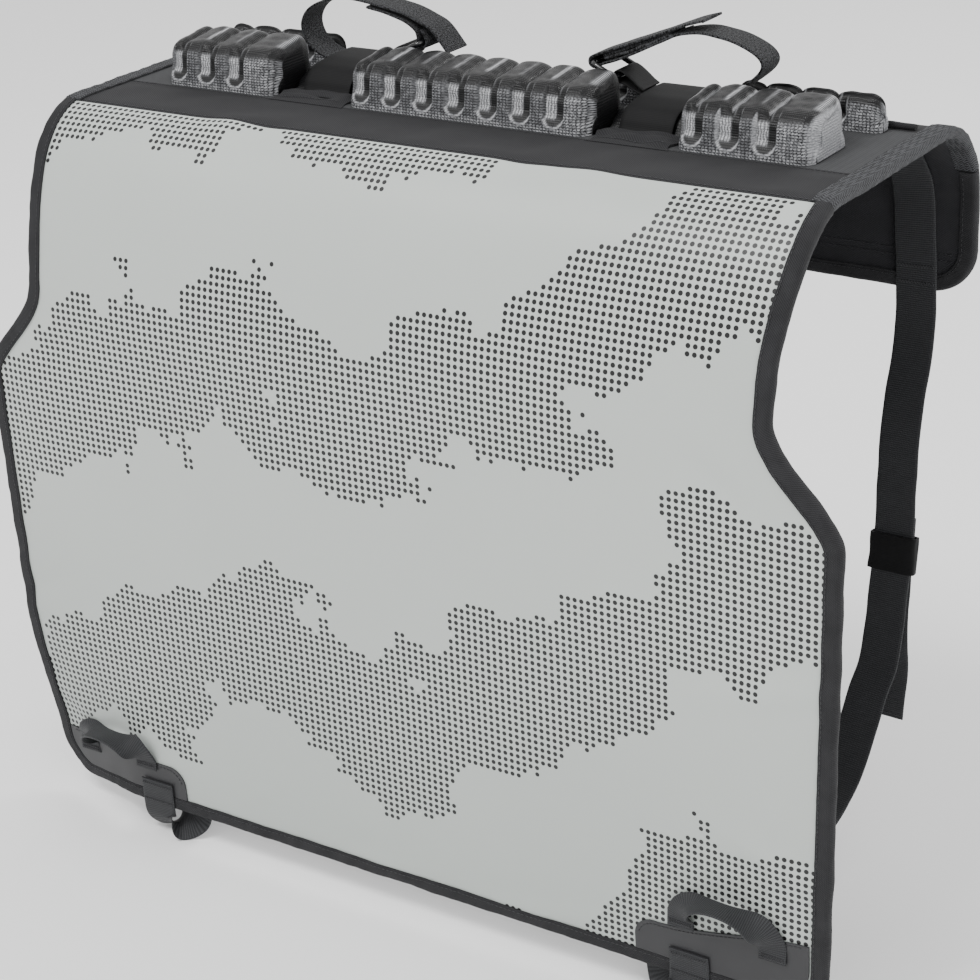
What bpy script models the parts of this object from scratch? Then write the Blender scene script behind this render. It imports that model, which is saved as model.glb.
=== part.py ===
"""Tailgate bike pad: a padded sheet that hangs over a tailgate, with ridged rests for two bikes.

The pad is one padded sheet that runs up the outside of the tailgate, over its top and down
the inside. It is made in layers: an outer skin, a foam core and a lining, bound along the
edges. Moulded ridged blocks on the top leave two gaps for the down tubes, each with a saddle
and a hook-and-loop strap. Webbing at the lower corners and at the rear flap holds the pad on.

Frame: metres, +X to the right, +Y from the outer panel to the rear flap, +Z up. The origin is
the middle of the flat underside that rests on the top edge of the tailgate.
"""

import math

import bmesh
import bpy
from mathutils import Vector

# Driving dimensions of the folded sheet, in metres
PANEL_WIDTH = 0.688
PANEL_WIDTH_LOW = 0.674
WAIST_WIDTH = 0.591
TOP_WIDTH = 0.606
PANEL_DROP = 0.530
SHEET_DEPTH = 0.298
FRONT_REACH = 0.078
FRONT_FALL = 0.150
REAR_RADIUS = 0.063
FLAP_DROP = 0.131
PANEL_CORNER = 0.035
FLAP_CORNER = 0.033
WAIST_DEPTH = 0.095
SHOULDER_START = 0.118
SHOULDER_END = 0.200

# Layers of the sheet
FABRIC = 0.0012
GAP = 0.0003
STACK = 0.0065
BINDING_WIDTH = 0.0115
BINDING_CLOTH = 0.0013
EDGE_IN_BINDING = 0.0024
SIDE_BAND_WIDTH = 0.015
SIDE_BAND_CLOTH = FABRIC
FACE_TWIST = 0.00001

# Seams across the sheet, as Y on the flat top
SEAM_FRONT = -0.079
SEAM_BAND = -0.020
SEAM_REAR = 0.079

# Places that follow from the driving dimensions
TOP = STACK
FRONT_Y = -0.148
REAR_Y = FRONT_Y + SHEET_DEPTH
FLAT_START = FRONT_Y + FRONT_REACH
FLAT_END = REAR_Y - REAR_RADIUS
FLAT_LENGTH = FLAT_END - FLAT_START
REAR_ARC = REAR_RADIUS * math.pi / 2


def front_curve(steps):
    """Lengths, places and normals down the quarter ellipse between the top and the outer panel."""
    table = []
    length = 0.0
    for i in range(steps + 1):
        angle = math.pi / 2 * i / steps
        y = FLAT_START - FRONT_REACH * math.sin(angle)
        z = TOP - FRONT_FALL * (1 - math.cos(angle))
        if table:
            length += math.dist((y, z), table[-1][1:3])
        normal = Vector((-math.sin(angle) / FRONT_REACH, math.cos(angle) / FRONT_FALL)).normalized()
        table.append((length, y, z, normal.x, normal.y))
    return table


FRONT_CURVE = front_curve(48)
FRONT_ARC = FRONT_CURVE[-1][0]
PANEL_END = -(FRONT_ARC + PANEL_DROP - FRONT_FALL)
FLAP_END = FLAT_LENGTH + REAR_ARC + FLAP_DROP - REAR_RADIUS
PANEL_BOTTOM = TOP - PANEL_DROP
SIDE_BAND_END = FLAT_LENGTH + REAR_ARC * 0.75

# Ridged blocks
BLOCK_FRONT = -0.019
BLOCK_DEPTH = 0.056
BLOCK_HEIGHT = 0.033
BLOCK_NOSE = 0.30
BLOCK_TAIL = 0.19
BLOCK_LEAN = 0.0018
CENTRE_WIDTH = 0.1936
SIDE_WIDTH = 0.0968
RIDGE_PITCH = 0.0260
CENTRE_GROOVES = 7
SIDE_GROOVES = 3
FIRST_GROOVE = 0.0115
REAR_FIRST_GROOVE = 0.0200
BIKE_GAP = 0.065
GROOVE_DEPTH = 0.0038
GROOVE_REACH = 0.0058
BLOCK_EDGE = 0.009
REAR_BLOCK_FRONT = 0.0645
REAR_BLOCK_DEPTH = 0.0150
REAR_BLOCK_HEIGHT = 0.024
REAR_CENTRE_HEIGHT = 0.015
REAR_NOSE = 0.40
REAR_TAIL = 0.35
REAR_BLOCK_OUTER = 0.267

# Webbing, straps and their small parts
BIKE_STRAP_WIDTH = 0.025
BIKE_STRAP_CLOTH = 0.0018
BIKE_STRAP_Y = 0.051
BAND_WIDTH = 0.040
TAILGATE_STRAP_WIDTH = 0.030
WEBBING = 0.0016
HANDLE_WEBBING = 0.020
RING_BAR = 0.004
RING_LENGTH = 0.035
RING_SPAN = 0.024
TAB_WIDTH = 0.030

STRAP_END_Y = FRONT_Y + STACK + BINDING_CLOTH + 3 * GAP + WEBBING * 1.5 + 0.0002
BIKE_X = CENTRE_WIDTH / 2 + BIKE_GAP / 2
SIDES = (("left", -1), ("right", 1))

COLOURS = {
    "tarpaulin": ((0.520, 0.560, 0.540), 0.50),
    "dark_tarpaulin": ((0.050, 0.051, 0.053), 0.45),
    "twill": ((0.045, 0.045, 0.047), 0.85),
    "binding": ((0.035, 0.035, 0.037), 0.80),
    "knit": ((0.110, 0.110, 0.112), 0.80),
    "ridge_mesh": ((0.120, 0.120, 0.124), 0.45),
    "lining": ((0.012, 0.012, 0.013), 0.90),
    "foam": ((0.060, 0.060, 0.062), 0.95),
    "webbing": ((0.014, 0.014, 0.015), 0.60),
    "hook_tape": ((0.020, 0.020, 0.021), 0.95),
    "ring_plastic": ((0.010, 0.010, 0.011), 0.25),
}


def clear_scene():
    """Remove every object of the open file."""
    for item in list(bpy.data.objects):
        bpy.data.objects.remove(item, do_unlink=True)


def finish(name, colour):
    """Make a plain Principled material for one part."""
    base, roughness = COLOURS[colour]
    material = bpy.data.materials.new(name + "_" + colour)
    material.use_nodes = True
    shader = material.node_tree.nodes["Principled BSDF"]
    shader.inputs["Base Color"].default_value = (*base, 1.0)
    shader.inputs["Roughness"].default_value = roughness
    shader.inputs["Metallic"].default_value = 0.0
    return material


def add_part(name, mesh, colour, smooth=True):
    """Turn a bmesh into a named object with its own material."""
    bmesh.ops.recalc_face_normals(mesh, faces=mesh.faces)
    data = bpy.data.meshes.new(name)
    mesh.to_mesh(data)
    mesh.free()
    if smooth:
        data.shade_smooth()
        data.set_sharp_from_angle(angle=math.radians(40))
    data.materials.append(finish(name, colour))
    part = bpy.data.objects.new(name, data)
    bpy.context.collection.objects.link(part)
    return part


def skin(run):
    """Give Y, Z and the outward normal of the outer skin at a length along the sheet.

    The length is zero where the flat top starts, negative towards the outer panel's lower
    edge and positive towards the rear flap's lower edge.
    """
    if run < -FRONT_ARC:
        return FRONT_Y, TOP - FRONT_FALL + FRONT_ARC + run, (-1.0, 0.0)
    if run < 0:
        ahead = next(i for i, row in enumerate(FRONT_CURVE) if row[0] >= -run)
        before, after = FRONT_CURVE[max(ahead - 1, 0)], FRONT_CURVE[ahead]
        share = (-run - before[0]) / (after[0] - before[0])
        y, z, normal_y, normal_z = [a + (b - a) * share for a, b in zip(before[1:], after[1:])]
        return y, z, (normal_y, normal_z)
    if run <= FLAT_LENGTH:
        return FLAT_START + run, TOP, (0.0, 1.0)
    beyond = run - FLAT_LENGTH
    angle = min(beyond / REAR_RADIUS, math.pi / 2)
    drop = max(beyond - REAR_ARC, 0)
    normal = (math.sin(angle), math.cos(angle))
    y = FLAT_END + REAR_RADIUS * normal[0]
    z = TOP - REAR_RADIUS + REAR_RADIUS * normal[1] - drop
    return y, z, normal


def on_sheet(x, run, depth):
    """Place a point by its X, its length along the sheet and its depth below the skin."""
    y, z, normal = skin(run)
    return Vector((x, y - normal[0] * depth, z - normal[1] * depth))


def run_at_y(y):
    """Length along the sheet of a place on the flat top."""
    return y - FLAT_START


def run_at_drop(below):
    """Length along the sheet of a place on the outer side, by its drop below the top skin."""
    if below >= FRONT_FALL:
        return -(FRONT_ARC + below - FRONT_FALL)
    last = len(FRONT_CURVE) - 1
    share = math.acos(1 - below / FRONT_FALL) / (math.pi / 2) * last
    index = min(int(share), last - 1)
    before, after = FRONT_CURVE[index][0], FRONT_CURVE[index + 1][0]
    return -(before + (after - before) * (share - index))


def ease(value):
    """Smooth step from 0 to 1."""
    value = min(max(value, 0.0), 1.0)
    return value * value * (3 - 2 * value)


def free_half_width(run):
    """Half width of the sheet's outline at a length, without its rounded corners."""
    if run > 0:
        return TOP_WIDTH / 2
    below = TOP - skin(run)[1]
    upper = TOP_WIDTH / 2 + (WAIST_WIDTH - TOP_WIDTH) / 2 * ease(below / WAIST_DEPTH)
    lower = PANEL_WIDTH / 2
    if below > SHOULDER_END:
        taper = (below - SHOULDER_END) / (PANEL_DROP - SHOULDER_END)
        return lower + (PANEL_WIDTH_LOW - PANEL_WIDTH) / 2 * taper
    if below <= SHOULDER_START:
        return upper
    step = ease((below - SHOULDER_START) / (SHOULDER_END - 0.006 - SHOULDER_START))
    return upper + (lower - upper) * step


def half_width(run, inset):
    """Half width at a length, moved inwards along the outline's normal by the inset."""
    probe = 0.001
    slope = (free_half_width(run + probe) - free_half_width(run - probe)) / (2 * probe)
    width = free_half_width(run) - inset * math.sqrt(1 + slope * slope)
    for end, radius, sign in ((PANEL_END, PANEL_CORNER, 1), (FLAP_END, FLAP_CORNER, -1)):
        centre = end + sign * radius
        away = (centre - run) * sign
        if away > 0:
            reach = radius - inset
            flat = free_half_width(centre) - radius
            width = flat + math.sqrt(max(reach * reach - away * away, 0.0))
    return width


def corner_runs(end, radius, sign, inset, steps):
    """Lengths through a rounded corner, from the straight edge inwards."""
    centre = end + sign * radius
    reach = radius - inset
    return [centre - sign * reach * math.cos(math.pi / 2 * i / steps) for i in range(steps + 1)]


def panel_runs(inset, top_run):
    """Lengths of the outer panel's rows, from its lower edge up to its top seam."""
    runs = corner_runs(PANEL_END, PANEL_CORNER, 1, inset, 6)
    for i in range(11):
        runs.append(run_at_drop(SHOULDER_END - (SHOULDER_END - SHOULDER_START) * i / 10))
    drops = [FRONT_FALL * (1 - math.cos(math.pi / 2 * i / 12)) for i in range(12, 0, -1)]
    runs += [run_at_drop(below) for below in drops if below < SHOULDER_START - 0.004]
    return [run for run in runs if run < top_run - 0.004] + [top_run]


def flap_runs(inset, start_run, end_run=None):
    """Lengths of the rear flap's rows, from its seam down to its lower edge."""
    runs = [start_run]
    runs += [FLAT_LENGTH + REAR_ARC * i / 8 for i in range(9)]
    runs += list(reversed(corner_runs(FLAP_END, FLAP_CORNER, -1, inset, 6)))
    if end_run is None:
        return runs
    return [run for run in runs if run < end_run - 0.001] + [end_run]


def sheet_layer(name, runs, inset, outer, inner, colour, insets=None):
    """Make one layer of the sheet as a closed slab between two depths.

    Insets, where they are given, hold one distance from the outline for each row.
    """
    insets = insets or [inset] * len(runs)
    mesh = bmesh.new()
    shares = (-1.0, 0.0, 1.0)
    faces = []
    for depth in (outer, inner):
        rows = []
        for run, row_inset in zip(runs, insets):
            half = half_width(run, row_inset)
            rows.append([mesh.verts.new(on_sheet(share * half, run, depth)) for share in shares])
        faces.append(rows)
    top, under = faces
    for i in range(len(runs) - 1):
        for j in range(len(shares) - 1):
            mesh.faces.new((top[i][j], top[i][j + 1], top[i + 1][j + 1], top[i + 1][j]))
            mesh.faces.new((under[i][j], under[i + 1][j], under[i + 1][j + 1], under[i][j + 1]))
        for j in (0, len(shares) - 1):
            mesh.faces.new((top[i][j], top[i + 1][j], under[i + 1][j], under[i][j]))
    for i in (0, len(runs) - 1):
        for j in range(len(shares) - 1):
            mesh.faces.new((top[i][j], under[i][j], under[i][j + 1], top[i][j + 1]))
    return add_part(name, mesh, colour)


def split_twisted(mesh):
    """Cut four-sided faces that aren't flat into triangles, so that each face is one plane."""
    twisted = []
    for face in mesh.faces:
        if len(face.verts) == 4:
            a, b, c, d = [corner.co for corner in face.verts]
            normal = (b - a).cross(c - a)
            if normal.length > 0 and abs(normal.normalized().dot(d - a)) > FACE_TWIST:
                twisted.append(face)
    bmesh.ops.triangulate(mesh, faces=twisted)


def sweep_section(name, sections, colour, closed=False):
    """Join equal rings of points into one closed body, with caps at open ends."""
    mesh = bmesh.new()
    rings = [[mesh.verts.new(point) for point in ring] for ring in sections]
    count = len(rings[0])
    last = len(rings) if closed else len(rings) - 1
    for i in range(last):
        ahead = rings[(i + 1) % len(rings)]
        for j in range(count):
            k = (j + 1) % count
            mesh.faces.new((rings[i][j], rings[i][k], ahead[k], ahead[j]))
    if not closed:
        mesh.faces.new(rings[0])
        mesh.faces.new(list(reversed(rings[-1])))
    split_twisted(mesh)
    return add_part(name, mesh, colour)


def folded_tape(name, path, width, cloth, lower, colour):
    """Fold a tape round the sheet's edge along a path of X, length and inward direction.

    Lower is the depth of its inner side's face below the skin.
    """
    outer = -(cloth + GAP)
    bevel = cloth * 0.6
    profile = (
        (width, outer), (bevel, outer), (0.0, outer + bevel),
        (0.0, lower - bevel), (bevel, lower), (width, lower),
        (width, lower - cloth), (cloth, lower - cloth),
        (cloth, outer + cloth), (width, outer + cloth),
    )
    rings = []
    for x, run, inward in path:
        ring = [on_sheet(x + inward[0] * e, run + inward[1] * e, d) for e, d in profile]
        rings.append(ring)
    return sweep_section(name, rings, colour)


def outline_path(runs, end, radius, sign):
    """Path of a bound edge: down the left side, across the end and up the right side."""
    probe = 0.0005
    centre = end + sign * radius
    corner_x = free_half_width(centre) - radius
    side = []
    for run in runs:
        slope = (free_half_width(run + probe) - free_half_width(run - probe)) / (2 * probe)
        scale = math.sqrt(1 + slope * slope)
        side.append((free_half_width(run), run, (-1 / scale, slope / scale)))
    corner = []
    for i in range(1, 7):
        angle = math.pi / 2 * i / 6
        x = corner_x + radius * math.cos(angle)
        run = centre - sign * radius * math.sin(angle)
        corner.append((x, run, (-math.cos(angle), sign * math.sin(angle))))
    right = side + corner
    left = [(-x, run, (-n[0], n[1])) for x, run, n in right]
    return left + list(reversed(right))


def ribbon(name, points, widths, width, thickness, colour):
    """Sweep a flat strap along points, with a width direction at each of them."""
    rings = []
    for i, point in enumerate(points):
        before = points[max(i - 1, 0)]
        after = points[min(i + 1, len(points) - 1)]
        tangent = (after - before).normalized()
        across = widths[i] - tangent * widths[i].dot(tangent)
        across.normalize()
        normal = across.cross(tangent).normalized()
        half_w = across * (width / 2)
        half_t = normal * (thickness / 2)
        rings.append([point - half_w - half_t, point + half_w - half_t,
                      point + half_w + half_t, point - half_w + half_t])
    return sweep_section(name, rings, colour)


def smooth_route(points, steps):
    """Read a smooth curve through hand-placed points."""
    route = []
    ends = [points[0] * 2 - points[1]] + list(points) + [points[-1] * 2 - points[-2]]
    for i in range(1, len(ends) - 2):
        a, b, c, d = ends[i - 1], ends[i], ends[i + 1], ends[i + 2]
        for k in range(steps):
            t = k / steps
            route.append(0.5 * ((2 * b) + (c - a) * t + (2 * a - 5 * b + 4 * c - d) * t * t
                                + (3 * b - a - 3 * c + d) * t * t * t))
    route.append(points[-1].copy())
    return route


def make_front_panel():
    """Outer panel: printed tarpaulin, foam and lining, bound along its sides and lower edge."""
    top_run = run_at_y(SEAM_FRONT) - GAP
    runs = panel_runs(EDGE_IN_BINDING, top_run)
    foam_end = STACK - FABRIC - GAP
    sheet_layer("front_tarpaulin", runs, EDGE_IN_BINDING, 0.0, FABRIC, "tarpaulin")
    sheet_layer("front_foam", runs, EDGE_IN_BINDING, FABRIC + GAP, foam_end, "foam")
    sheet_layer("front_lining", runs, EDGE_IN_BINDING, foam_end + GAP, STACK, "lining")
    corner_run = PANEL_END + PANEL_CORNER
    side_runs = [run for run in reversed(panel_runs(0.0, top_run)) if run > corner_run]
    side_runs.append(corner_run)
    path = outline_path(side_runs, PANEL_END, PANEL_CORNER, 1)
    lower = STACK + BINDING_CLOTH + GAP
    folded_tape("front_binding", path, BINDING_WIDTH, BINDING_CLOTH, lower, "binding")


def make_top():
    """Flat top: woven band, ribbed panel, foam and the lining that rests on the tailgate."""
    front_run = run_at_y(SEAM_FRONT)
    band_run = run_at_y(SEAM_BAND)
    rear_run = run_at_y(SEAM_REAR)
    foam_end = STACK - FABRIC - GAP
    front_rows = [front_run, 0.0, band_run - GAP]
    panel_rows = [band_run, rear_run - GAP]
    sheet_layer("top_band", front_rows, EDGE_IN_BINDING, 0.0, FABRIC, "twill")
    sheet_layer("top_panel", panel_rows, EDGE_IN_BINDING, 0.0, FABRIC, "knit")
    rows = [front_run, 0.0, rear_run - GAP]
    sheet_layer("top_foam", rows, EDGE_IN_BINDING, FABRIC + GAP, foam_end, "foam")
    sheet_layer("top_lining", rows, SIDE_BAND_WIDTH + GAP, foam_end + GAP, STACK, "lining")


def make_side_bands():
    """Knitted bands folded round the two ends of the top, flush with the lining below."""
    runs = [run_at_y(SEAM_FRONT), 0.0, FLAT_LENGTH]
    runs += [FLAT_LENGTH + (SIDE_BAND_END - FLAT_LENGTH) * i / 7 for i in range(1, 8)]
    for side, sign in SIDES:
        path = [(sign * TOP_WIDTH / 2, run, (-sign, 0.0)) for run in runs]
        folded_tape("side_band_" + side, path, SIDE_BAND_WIDTH, SIDE_BAND_CLOTH, STACK, "knit")


def make_rear_flap():
    """Rear flap: skin, foam and lining with a hem below its seam, bound along its edge."""
    start = run_at_y(SEAM_REAR)
    hem = FLAP_END - 0.026
    foam_end = STACK - FABRIC - GAP
    runs = flap_runs(EDGE_IN_BINDING, start)
    sheet_layer("flap_shell", runs, EDGE_IN_BINDING, 0.0, FABRIC, "twill")
    sheet_layer("flap_foam", runs, EDGE_IN_BINDING, FABRIC + GAP, foam_end, "foam")
    upper = flap_runs(EDGE_IN_BINDING, start, hem)
    beside_band = SIDE_BAND_END + GAP
    upper = sorted(upper + [beside_band, beside_band + GAP])
    beside = SIDE_BAND_WIDTH + GAP
    insets = [beside if run <= beside_band else EDGE_IN_BINDING for run in upper]
    sheet_layer("flap_lining", upper, None, foam_end + GAP, STACK, "lining", insets)
    lower = [hem + GAP] + [run for run in runs if run > hem + 0.001]
    sheet_layer("flap_hem", lower, EDGE_IN_BINDING, foam_end + GAP, STACK, "lining")
    first = SIDE_BAND_END + GAP
    arc_runs = [FLAT_LENGTH + REAR_ARC * 0.875, FLAT_LENGTH + REAR_ARC]
    side_runs = [first] + arc_runs + [FLAP_END - FLAP_CORNER]
    path = outline_path(side_runs, FLAP_END, FLAP_CORNER, -1)
    lower = STACK + BINDING_CLOTH + GAP
    folded_tape("flap_binding", path, BINDING_WIDTH, BINDING_CLOTH, lower, "binding")


def make_rear_piping():
    """Round piping in the seam between the top and the rear flap."""
    radius = 0.0022
    y = SEAM_REAR + 0.0035
    z = TOP + radius
    rings = []
    for x in (-0.284, 0.0, 0.284):
        ring = []
        for k in range(8):
            angle = 2 * math.pi * k / 8
            ring.append(Vector((x, y + radius * math.cos(angle), z + radius * math.sin(angle))))
        rings.append(ring)
    sweep_section("rear_piping", rings, "binding")


def block_profile(depth, height, nose, tail):
    """Side profile of a block: steep front, a crown that rises to the rear, short rear bend."""
    shoulder = height * 0.58
    brow = height * 0.92
    steps = 5
    points = [(0.0, 0.0), (BLOCK_LEAN * 0.4, height * 0.30)]
    for i in range(steps + 1):
        angle = math.pi / 2 * i / steps
        y = BLOCK_LEAN + depth * nose * (1 - math.cos(angle))
        points.append((y, shoulder + (brow - shoulder) * math.sin(angle)))
    rear = height * 0.62
    for i in range(steps + 1):
        angle = math.pi / 2 * (1 - i / steps)
        y = depth - BLOCK_LEAN - depth * tail * (1 - math.cos(angle))
        points.append((y, rear + (height - rear) * math.sin(angle)))
    points.append((depth, 0.0))
    return points


def block_sections(width, first):
    """Places of a block's sections: even over the ridges, closer at its rounded ends."""
    ends = (0.0, 0.0012, 0.0035)
    room = 0.0045
    step = RIDGE_PITCH / 6
    places = [first + k * step for k in range(-6, int(width / step))]
    middle = [x for x in places if room < x < width - room]
    return list(ends) + middle + [width - x for x in reversed(ends)]


def ridged_block(name, x_start, width, grooves, seat, profile):
    """Mould one block: ridges front to back, with grooves that end in a U on the front.

    grooves is the place of the first groove and their number, seat the front Y and the depth,
    and profile the block's side line.
    """
    first, count = grooves
    y_front, depth = seat
    height = max(z for _, z in profile)
    middle = (depth / 2, height * 0.35)
    corner = min(BLOCK_EDGE, depth * 0.35)
    rings = []
    for x in block_sections(width, first):
        beside = min(abs(x - first - k * RIDGE_PITCH) for k in range(count))
        groove = ease(max(0.0, 1 - beside / GROOVE_REACH)) * GROOVE_DEPTH
        edge = min(x, width - x)
        rounding = max(0.0, 1 - edge / BLOCK_EDGE)
        bend = 1 - math.sqrt(1 - rounding * rounding * 0.96)
        droop = BLOCK_EDGE * 0.55 * bend
        narrow = 1 - corner * bend / (depth / 2)
        ring = []
        for y, z in profile:
            y = depth / 2 + (y - depth / 2) * narrow
            share = ease((z - height * 0.12) / (height * 0.22))
            toward = Vector((0.0, middle[0] - y, middle[1] - z)).normalized()
            move = toward * ((groove + droop) * share)
            ring.append(Vector((x_start + x, y_front + y + move.y, TOP + GAP + z + move.z)))
        rings.append(ring)
    return sweep_section(name, rings, "ridge_mesh")


def make_blocks():
    """Front row of three blocks and the lower row behind the strap channel."""
    half = CENTRE_WIDTH / 2
    outer = half + BIKE_GAP
    seat = (BLOCK_FRONT, BLOCK_DEPTH)
    profile = block_profile(BLOCK_DEPTH, BLOCK_HEIGHT, BLOCK_NOSE, BLOCK_TAIL)
    side = (FIRST_GROOVE, SIDE_GROOVES)
    centre = (FIRST_GROOVE, CENTRE_GROOVES)
    ridged_block("block_left", -outer - SIDE_WIDTH, SIDE_WIDTH, side, seat, profile)
    ridged_block("block_centre", -half, CENTRE_WIDTH, centre, seat, profile)
    ridged_block("block_right", outer, SIDE_WIDTH, side, seat, profile)
    rear_width = REAR_BLOCK_OUTER - outer
    seat = (REAR_BLOCK_FRONT, REAR_BLOCK_DEPTH)
    side = (REAR_FIRST_GROOVE, SIDE_GROOVES)
    profile = block_profile(REAR_BLOCK_DEPTH, REAR_BLOCK_HEIGHT, REAR_NOSE, REAR_TAIL)
    ridged_block("rear_block_left", -REAR_BLOCK_OUTER, rear_width, side, seat, profile)
    ridged_block("rear_block_right", outer, rear_width, side, seat, profile)
    profile = block_profile(REAR_BLOCK_DEPTH, REAR_CENTRE_HEIGHT, REAR_NOSE, REAR_TAIL)
    ridged_block("rear_block_centre", -half, CENTRE_WIDTH, centre, seat, profile)


def saddle_line():
    """Side line of the saddle band: Y and height above the top, front foot to rear foot."""
    return ((-0.010, 0.0013), (0.001, 0.0013), (0.006, 0.0085), (0.013, 0.0145), (0.026, 0.0172),
            (0.038, 0.0182), (0.051, 0.0184), (0.064, 0.0178), (0.072, 0.0120), (0.0765, 0.0045))


def make_saddles():
    """Padded hump in each gap, and the band stretched over it."""
    band_cloth = 0.0014
    for side, sign in SIDES:
        x = sign * BIKE_X
        points = [Vector((x, y, TOP + h)) for y, h in saddle_line()]
        widths = [Vector((1, 0, 0))] * len(points)
        ribbon("saddle_band_" + side, points, widths, BAND_WIDTH, band_cloth, "webbing")
        make_saddle_pad(side, x)


def make_saddle_pad(side, x):
    """Foam hump under the saddle band, with a cross channel for the bike strap."""
    half = 0.028
    channel_start = BIKE_STRAP_Y - BIKE_STRAP_WIDTH / 2 - 0.0008
    channel_end = BIKE_STRAP_Y + BIKE_STRAP_WIDTH / 2 + 0.0008
    line = ((0.0045, 0.0003), (0.0090, 0.0080), (0.0140, 0.0125), (0.0270, 0.0155),
            (channel_start, 0.0160), (channel_start, 0.0135), (channel_end, 0.0135),
            (channel_end, 0.0155), (0.0685, 0.0105), (0.0730, 0.0003))
    rings = []
    for end in (-half, half):
        rings.append([Vector((x + end, y, TOP + h)) for y, h in line])
    sweep_section("saddle_pad_" + side, rings, "ridge_mesh")


def loop_points(route, sign):
    """Turn X offsets from the bike gap and heights above the top into points."""
    return [Vector((sign * (BIKE_X + x), BIKE_STRAP_Y, TOP + h)) for x, h in route]


def strap_ribbon(name, points, width, thickness, colour):
    """Sweep a strap that lies across Y."""
    widths = [Vector((0, 1, 0))] * len(points)
    return ribbon(name, points, widths, width, thickness, colour)


def make_bike_straps():
    """Hook-and-loop straps through the saddles, each with its ring."""
    start = ((-0.010, 0.0152), (0.010, 0.0152), (0.022, 0.0156))
    loop = ((0.0360, 0.0190), (0.0505, 0.0275), (0.0620, 0.0365), (0.0660, 0.0440),
            (0.0615, 0.0505), (0.0500, 0.0560), (0.0360, 0.0595), (0.0220, 0.0608),
            (0.0060, 0.0588), (-0.0100, 0.0518), (-0.0300, 0.0425), (-0.0430, 0.0370),
            (-0.0515, 0.0342), (-0.0555, 0.0326))
    turn = ((-0.0575, 0.0315), (-0.0600, 0.0310), (-0.0623, 0.0324), (-0.0631, 0.0349),
            (-0.0621, 0.0374), (-0.0597, 0.0386))
    back = ((-0.0550, 0.0405), (-0.0350, 0.0480), (-0.0100, 0.0572), (0.0100, 0.0652),
            (0.0245, 0.0694))
    points = smooth_route(loop_points(start + loop + turn + back, 1), 3)
    strap_ribbon("bike_strap_right", points, BIKE_STRAP_WIDTH, BIKE_STRAP_CLOTH, "hook_tape")

    loop = ((0.0335, 0.0190), (0.0430, 0.0270), (0.0458, 0.0375), (0.0405, 0.0480),
            (0.0295, 0.0550), (0.0100, 0.0600), (-0.0115, 0.0592), (-0.0400, 0.0545),
            (-0.0590, 0.0482), (-0.0690, 0.0425), (-0.0805, 0.0290))
    points = smooth_route(loop_points(start + loop, -1), 3)
    strap_ribbon("bike_strap_left", points, BIKE_STRAP_WIDTH, BIKE_STRAP_CLOTH, "hook_tape")

    strip = ((-0.0130, 0.0556), (-0.0300, 0.0524), (-0.0450, 0.0482), (-0.0535, 0.0430),
             (-0.0556, 0.0380), (-0.0555, 0.0340), (-0.0569, 0.0318), (-0.0594, 0.0310),
             (-0.0620, 0.0322), (-0.0631, 0.0349), (-0.0624, 0.0378), (-0.0608, 0.0410),
             (-0.0588, 0.0436))
    points = smooth_route(loop_points(strip, -1), 3)
    strap_ribbon("hook_strip_left", points, BIKE_STRAP_WIDTH, BIKE_STRAP_CLOTH, "hook_tape")
    for side, sign in SIDES:
        make_ring(side, sign, (-0.0503, 0.0304), -0.45)


def make_ring(side, sign, centre, tilt):
    """Oval ring that the strap turns round, lying across the strap at a tilt."""
    half_span = RING_SPAN / 2 - RING_BAR / 2
    half_length = RING_LENGTH / 2 - RING_BAR / 2
    corner = 0.005
    direction = Vector((math.cos(tilt), 0.0, math.sin(tilt)))
    length = Vector((0, 1, 0))
    up = direction.cross(length)
    middle = Vector((BIKE_X + centre[0], BIKE_STRAP_Y, TOP + centre[1]))
    rings = []
    for cx, cy, start in ((1, 1, 0), (-1, 1, 1), (-1, -1, 2), (1, -1, 3)):
        for k in range(4):
            angle = math.pi / 2 * (start + k / 3)
            out = direction * math.cos(angle) + length * math.sin(angle)
            base = direction * (cx * (half_span - corner)) + length * (cy * (half_length - corner))
            path = middle + base + out * corner
            ring = []
            for j in range(6):
                turn = 2 * math.pi * j / 6
                ring.append(path + (out * math.cos(turn) + up * math.sin(turn)) * (RING_BAR / 2))
            rings.append([Vector((sign * p.x, p.y, p.z)) for p in ring])
    sweep_section("strap_ring_" + side, rings, "ring_plastic", closed=True)


def make_ring_tabs():
    """Smooth webbing tabs between the rings and the saddle bands."""
    route = ((-0.0165, 0.0148), (-0.0240, 0.0156), (-0.0310, 0.0182), (-0.0360, 0.0208),
             (-0.0394, 0.0220), (-0.0434, 0.0226), (-0.0452, 0.0253), (-0.0441, 0.0288),
             (-0.0407, 0.0301), (-0.0362, 0.0282), (-0.0310, 0.0244), (-0.0262, 0.0206),
             (-0.0225, 0.0184))
    tab_width = BIKE_STRAP_WIDTH - 0.002
    tab_cloth = 0.0014
    for side, sign in SIDES:
        points = smooth_route(loop_points(route, sign), 2)
        strap_ribbon("ring_tab_" + side, points, tab_width, tab_cloth, "webbing")


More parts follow.
